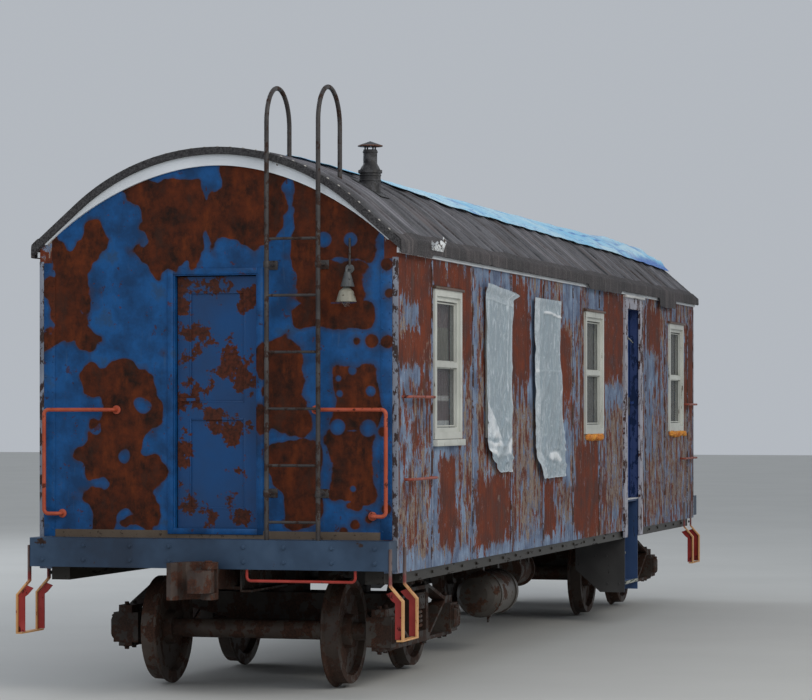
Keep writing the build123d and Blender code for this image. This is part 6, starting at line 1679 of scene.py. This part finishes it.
@dataclass
class BogieDress:
    """The wound springs, bar nuts, box lids, bolster caps and rivets of the arch-bar bogies."""

    journal: float = 1.060
    half_base: float = 0.900
    column: float = 0.230
    column_top: float = 0.757
    box_top: float = 0.627
    tie_foot: float = 0.297
    lid_height: float = 0.446
    bolster_end: float = 1.1105
    rivet_heights: tuple[float, ...] = (0.400, 0.470, 0.540, 0.610, 0.680)
    wire: float = 0.0135
    coil: float = 0.058
    seat: float = 0.050
    inset: float = 0.072
    turns: int = 4

    def springs(self, name: str) -> None:
        """Wind the four springs of a bogie and put them in the place of the plain ones."""
        low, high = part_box(f"bogie_springs_{name}")
        height = high.z - low.z
        wound = Bench.add(bpy.ops.mesh.primitive_circle_add, "coil", vertices=10, radius=self.wire, fill_type="NGON",
                          location=(self.coil, 0, self.wire), rotation=(math.pi / 2, 0, 0))
        Bench.modify(wound, "SCREW", angle=math.tau * self.turns, screw_offset=height - 2 * self.wire,
                     steps=26 * self.turns, render_steps=26 * self.turns, use_merge_vertices=True)
        Bench.edit(wound, lambda: bpy.ops.mesh.remove_doubles(threshold=0.00005),
                   lambda: bpy.ops.mesh.normals_make_consistent(inside=False))
        seats = [Bench.drum("seat", 0.036, self.seat, (0, 0, middle), (0, 0, way), 18, 0.006, 0.8)
                 for middle, way in ((self.seat / 2, 1), (height - self.seat / 2, -1))]
        unit = Bench.join("unit", [wound, *seats])
        places = [Matrix.Translation((x, y, low.z)) for x in (low.x + self.inset, high.x - self.inset)
                  for y in (low.y + self.inset, high.y - self.inset)]
        piece = place(Bench.copies(f"wound_springs_{name}", unit, places), f"bogie_{name}", Slots.SPRING, SPRING, 60.0)
        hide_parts(f"bogie_springs_{name}")

    def nuts(self, name: str, middle: float) -> None:
        """Put the nuts on the column and box bolts, above the bars and below the tie bar."""
        spots = []
        for side in Side:
            y = side.value * self.journal
            for sign in (-1, 1):
                bolts = [(middle + sign * self.column, y + across, self.column_top) for across in (-0.030, 0.030)]
                bolts += [(middle + sign * self.half_base + along, y, self.box_top) for along in (-0.082, 0.082)]
                for x, across, top in bolts:
                    spots.append(Bench.facing((x, across, top)))
                    spots.append(Bench.facing((x, across, self.tie_foot), (0, 0, -1)))
        stud(f"bar_nuts_{name}", Bench.bolt(0.019, 0.024), spots, Slots.BOGIE, BOGIE, f"bogie_{name}")

    def lids(self, name: str, middle: float) -> None:
        """Hang a lid with its hinge barrel and spring clip on each axle box."""
        parts = []
        for side in Side:
            for sign in (-1, 1):
                x, y, z = middle + sign * self.half_base, side.value * (self.journal + 0.119), self.lid_height
                lid = Bench.block("lid", (0.164, 0.014, 0.162), (x, y + side.value * 0.006, z), 0.005)
                Bench.pick(lid, lambda face: face.normal.y * side.value > 0.9)
                Bench.shape(lid, lambda: bpy.ops.mesh.inset(thickness=0.020, depth=0.006))
                barrel = Bench.drum("barrel", 0.012, 0.110, (x, y + side.value * 0.010, z + 0.090), (1, 0, 0), 14)
                clip = Bench.block("clip", (0.030, 0.010, 0.090), (x, y + side.value * 0.020, z + 0.054), 0.003)
                rib = Bench.block("rib", (0.150, 0.120, 0.014), (x, side.value * self.journal, z - 0.116), 0.004)
                parts += [lid, barrel, clip, rib]
        fit(f"box_lids_{name}", parts, Slots.GEAR, GEAR, f"bogie_{name}")

    def bolster_ends(self, name: str, middle: float) -> None:
        """Rivet a cap plate on the bolster's ends and the columns."""
        plates, rivets = [], []
        for side in Side:
            y = side.value * self.bolster_end
            plates.append(Bench.block("cap", (0.300, 0.008, 0.100), (middle, y, 0.632), 0.003))
            for sign in (-1, 1):
                spots = [(middle + sign * along, y + side.value * 0.003, height)
                         for height in (0.600, 0.664) for along in (0.05, 0.12)]
                spots += [(middle + sign * self.column, side.value * (self.journal + 0.0545), height)
                          for height in self.rivet_heights]
                rivets += [Bench.facing(spot, side.outward) for spot in spots]
        fit(f"bolster_caps_{name}", plates, Slots.BOGIE, BOGIE, f"bogie_{name}")
        stud(f"bogie_rivets_{name}", Bench.rivet(0.012), rivets, Slots.BOGIE, BOGIE, f"bogie_{name}")

    def build(self) -> None:
        """Dress both bogies."""
        for name, middle in BOGIE_MIDDLES.items():
            self.springs(name)
            self.nuts(name, middle)
            self.lids(name, middle)
            self.bolster_ends(name, middle)


@dataclass
class UnderfloorDress:
    """The stirrups' webs, bolts of the sills, the reservoir's fittings, the brake cylinder's studs, coupler pins."""

    sill_bolt_count: int = 27
    sill_bolt_start: float = -6.05
    sill_bolt_pitch: float = 0.465
    stair_half: float = 0.42
    tank: Point = (-1.445, -0.950, 0.532)
    tank_radius: float = 0.200
    straps: Pair = (-1.720, -1.170)
    cylinder_heads: tuple[tuple[float, int], ...] = ((0.154, -1), (0.726, 1))
    cylinder_axis: Pair = (-0.700, 0.640)
    cylinder_circle: float = 0.162
    cylinder_count: int = 8
    knuckle_pin: Pair = (6.650, 0.095)
    leg_route: tuple[Pair, ...] = ((0.835, 1.475), (0.757, 1.545), (0.475, 1.545))
    leg_bend: float = 0.3

    def sill_bolts(self) -> None:
        """Bolt the side sills along their outer faces."""
        low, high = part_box("side_sills")
        spots = []
        for side in Side:
            for step in range(self.sill_bolt_count):
                x = self.sill_bolt_start + step * self.sill_bolt_pitch
                if abs(x - DOOR_MIDDLE) > self.stair_half:
                    spots.append(Bench.facing((x, side.value * high.y, low.z + 0.045), side.outward))
        stud("side_sill_bolts", Bench.bolt(0.011, 0.012), spots, Slots.SILL, SILL)

    def reservoir(self) -> None:
        """Weld the reservoir's seams, and add its drain cock and strap bolts."""
        low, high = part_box("air_reservoir")
        middle, y, z = self.tank
        foot, down = z - self.tank_radius, (0, 0, -1)
        parts = [Bench.drum("seam", self.tank_radius + 0.004, 0.012, (x, y, z), (1, 0, 0), 40, 0.004)
                 for x in (low.x + 0.085, high.x - 0.085)]
        parts.append(Bench.drum("boss", 0.026, 0.030, (middle, y, foot - 0.010), down, 14, 0.004))
        parts.append(Bench.drum("cock", 0.011, 0.060, (middle, y, foot - 0.045), down, 10, 0.002))
        parts.append(Bench.block("handle", (0.060, 0.008, 0.014), (middle + 0.020, y, foot - 0.060), 0.002))
        fit("reservoir_fittings", parts, Slots.TANK, TANK)
        spots = [Bench.facing((x, y + sign * 0.0305, 0.800), (0, sign, 0)) for x in self.straps for sign in (-1, 1)]
        stud("strap_bolts", Bench.bolt(0.013, 0.014), spots, Slots.TANK, TANK)

    def cylinder(self) -> None:
        """Ring the brake cylinder's two heads with studs."""
        spots = []
        y, z = self.cylinder_axis
        for x, way in self.cylinder_heads:
            for step in range(self.cylinder_count):
                turn = step * math.tau / self.cylinder_count + 0.2
                across, up = self.cylinder_circle * math.cos(turn), self.cylinder_circle * math.sin(turn)
                spots.append(Bench.facing((x, y + across, z + up), (way, 0, 0)))
        stud("cylinder_studs", Bench.bolt(0.010, 0.014), spots, Slots.GEAR, GEAR)

    def coupler_bolts(self, end: End) -> None:
        """Head the coupler's knuckle pin."""
        x, y = (end.value * away for away in self.knuckle_pin)
        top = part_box(f"coupler_{end.label}")[1].z
        pin = Bench.drum(f"knuckle_pin_head_{end.label}", 0.030, 0.016, (x, y, top + 0.007), sides=18, bevel=0.005,
                         top=0.9)
        place(pin, f"coupler_{end.label}", Slots.COUPLER, COUPLER)

    def _leg_point(self, side: Side, x: float, u: float, v: float) -> Point:
        """Where a point of a stirrup leg's bar lies: u across it, v down its route."""
        step = 0 if v < self.leg_bend else 1
        share = v / self.leg_bend if step == 0 else (v - self.leg_bend) / (1 - self.leg_bend)
        (z_from, y_from), (z_to, y_to) = self.leg_route[step], self.leg_route[step + 1]
        y, z = y_from + (y_to - y_from) * share, z_from + (z_to - z_from) * share
        return x, side.value * (y - 0.052 * u), z - 0.020 * u * (1 - smooth_step(v, 0.25, 0.35))

    def stirrup_webs(self) -> None:
        """Stiffen each leg of the stirrups with a flat bar behind its edge."""
        low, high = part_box("stirrup_steps")
        webs = []
        for side in Side:
            for middle in (low.x + 0.220, high.x - 0.220):
                for x in (middle - 0.195, middle + 0.195):
                    webs.append(Bench.cloth("web", 1, 10, (0.05, 0.4), lambda u, v: self._leg_point(side, x, u, v)))
                    Bench.thicken(webs[-1], 0.010)
        fit("stirrup_webs", webs, Slots.STEP, STEP_RED)

    def build(self) -> None:
        """Dress what hangs below the floor."""
        self.stirrup_webs()
        self.sill_bolts()
        self.reservoir()
        self.cylinder()
        for end in End:
            self.coupler_bolts(end)


@dataclass
class Studio:
    """The camera at the photograph's place, soft lights, and a plain pale floor."""

    eye: Point = (-28.0, -7.68, 2.188)
    look: Pair = (0.962, 0.272)
    lens: float = 133.0
    sensor: float = 36.0
    lift: float = 0.075
    clip: Pair = (0.1, 400.0)
    sky: Tone = (216, 222, 230)
    glow: float = 0.66
    lights: tuple[tuple[str, Point, Point, float, float, Tone], ...] = (
        ("key", (-14.0, -20.0, 15.0), (0.0, 0.0, 2.0), 12.0, 2300.0, (255, 250, 242)),
        ("front", (-24.0, -3.0, 10.0), (-6.0, 0.0, 2.0), 9.0, 600.0, (240, 246, 255)),
        ("rim", (10.0, 18.0, 12.0), (0.0, 0.0, 2.0), 12.0, 1300.0, (240, 246, 255)),
    )
    floor_tone: Tone = (202, 202, 198)
    floor_width: float = 240.0
    floor_height: float = -0.002

    def camera(self) -> None:
        """Set the level camera."""
        data = bpy.data.cameras.new("camera")
        data.lens, data.sensor_width, data.shift_y = self.lens, self.sensor, self.lift
        data.clip_start, data.clip_end = self.clip
        camera = bpy.data.objects.new("camera", data)
        camera.location = self.eye
        camera.rotation_euler = (math.pi / 2, 0.0, math.atan2(self.look[1], self.look[0]) - math.pi / 2)
        bpy.context.scene.collection.objects.link(camera)
        bpy.context.scene.camera = camera

    def light(self, name: str, spot: Point, aim: Point, size: float, power: float, tone: Tone) -> None:
        """Hang one soft square light that faces a point, by its width, its watts and its colour."""
        data = bpy.data.lights.new(name, "AREA")
        data.size, data.energy, data.color = size, power, linear(tone)[:3]
        lamp = bpy.data.objects.new(name, data)
        lamp.location = spot
        lamp.rotation_euler = (Vector(aim) - Vector(spot)).to_track_quat("-Z", "Y").to_euler()
        bpy.context.scene.collection.objects.link(lamp)

    def world(self) -> None:
        """Fill the room with an even soft light."""
        world = bpy.data.worlds.new("soft_room")
        world.use_nodes = True
        background = world.node_tree.nodes["Background"]
        background.inputs["Color"].default_value = linear(self.sky)
        background.inputs["Strength"].default_value = self.glow
        bpy.context.scene.world = world
        bpy.context.scene.view_settings.view_transform = "Standard"

    def floor(self) -> None:
        """Lay the plain pale floor just under the wheels."""
        ground = Bench.add(bpy.ops.mesh.primitive_grid_add, "studio_floor", x_subdivisions=4, y_subdivisions=4,
                           size=self.floor_width, location=(0, 0, self.floor_height))
        graph = Graph("studio_floor_paint")
        cloud = graph.blotches(0.4, detail=3.0)
        tone = graph.blend(graph.ramp(cloud, 0.3, 0.7), self.floor_tone, tuple(v - 6 for v in self.floor_tone))
        ground.data.materials.append(graph.close(tone, 0.9))

    def build(self) -> None:
        """Set up the studio."""
        self.camera()
        self.world()
        for lamp in self.lights:
            self.light(*lamp)
        self.floor()


def main() -> None:
    """Build the studio and every sub-assembly in order."""
    logging.basicConfig(level=logging.INFO, format="%(name)s: %(message)s")
    Studio().build()
    dress_nodes()
    for assembly in (SideDress(), Blinds(), PlasticCovers(), Tarpaulin(), RoofDress(), EndDress(), DoorDress(),
                     StairDress(), BogieDress(), UnderfloorDress()):
        assembly.build()
        LOG.info("%s done", type(assembly).__name__)


if __name__ == "__main__":
    main()
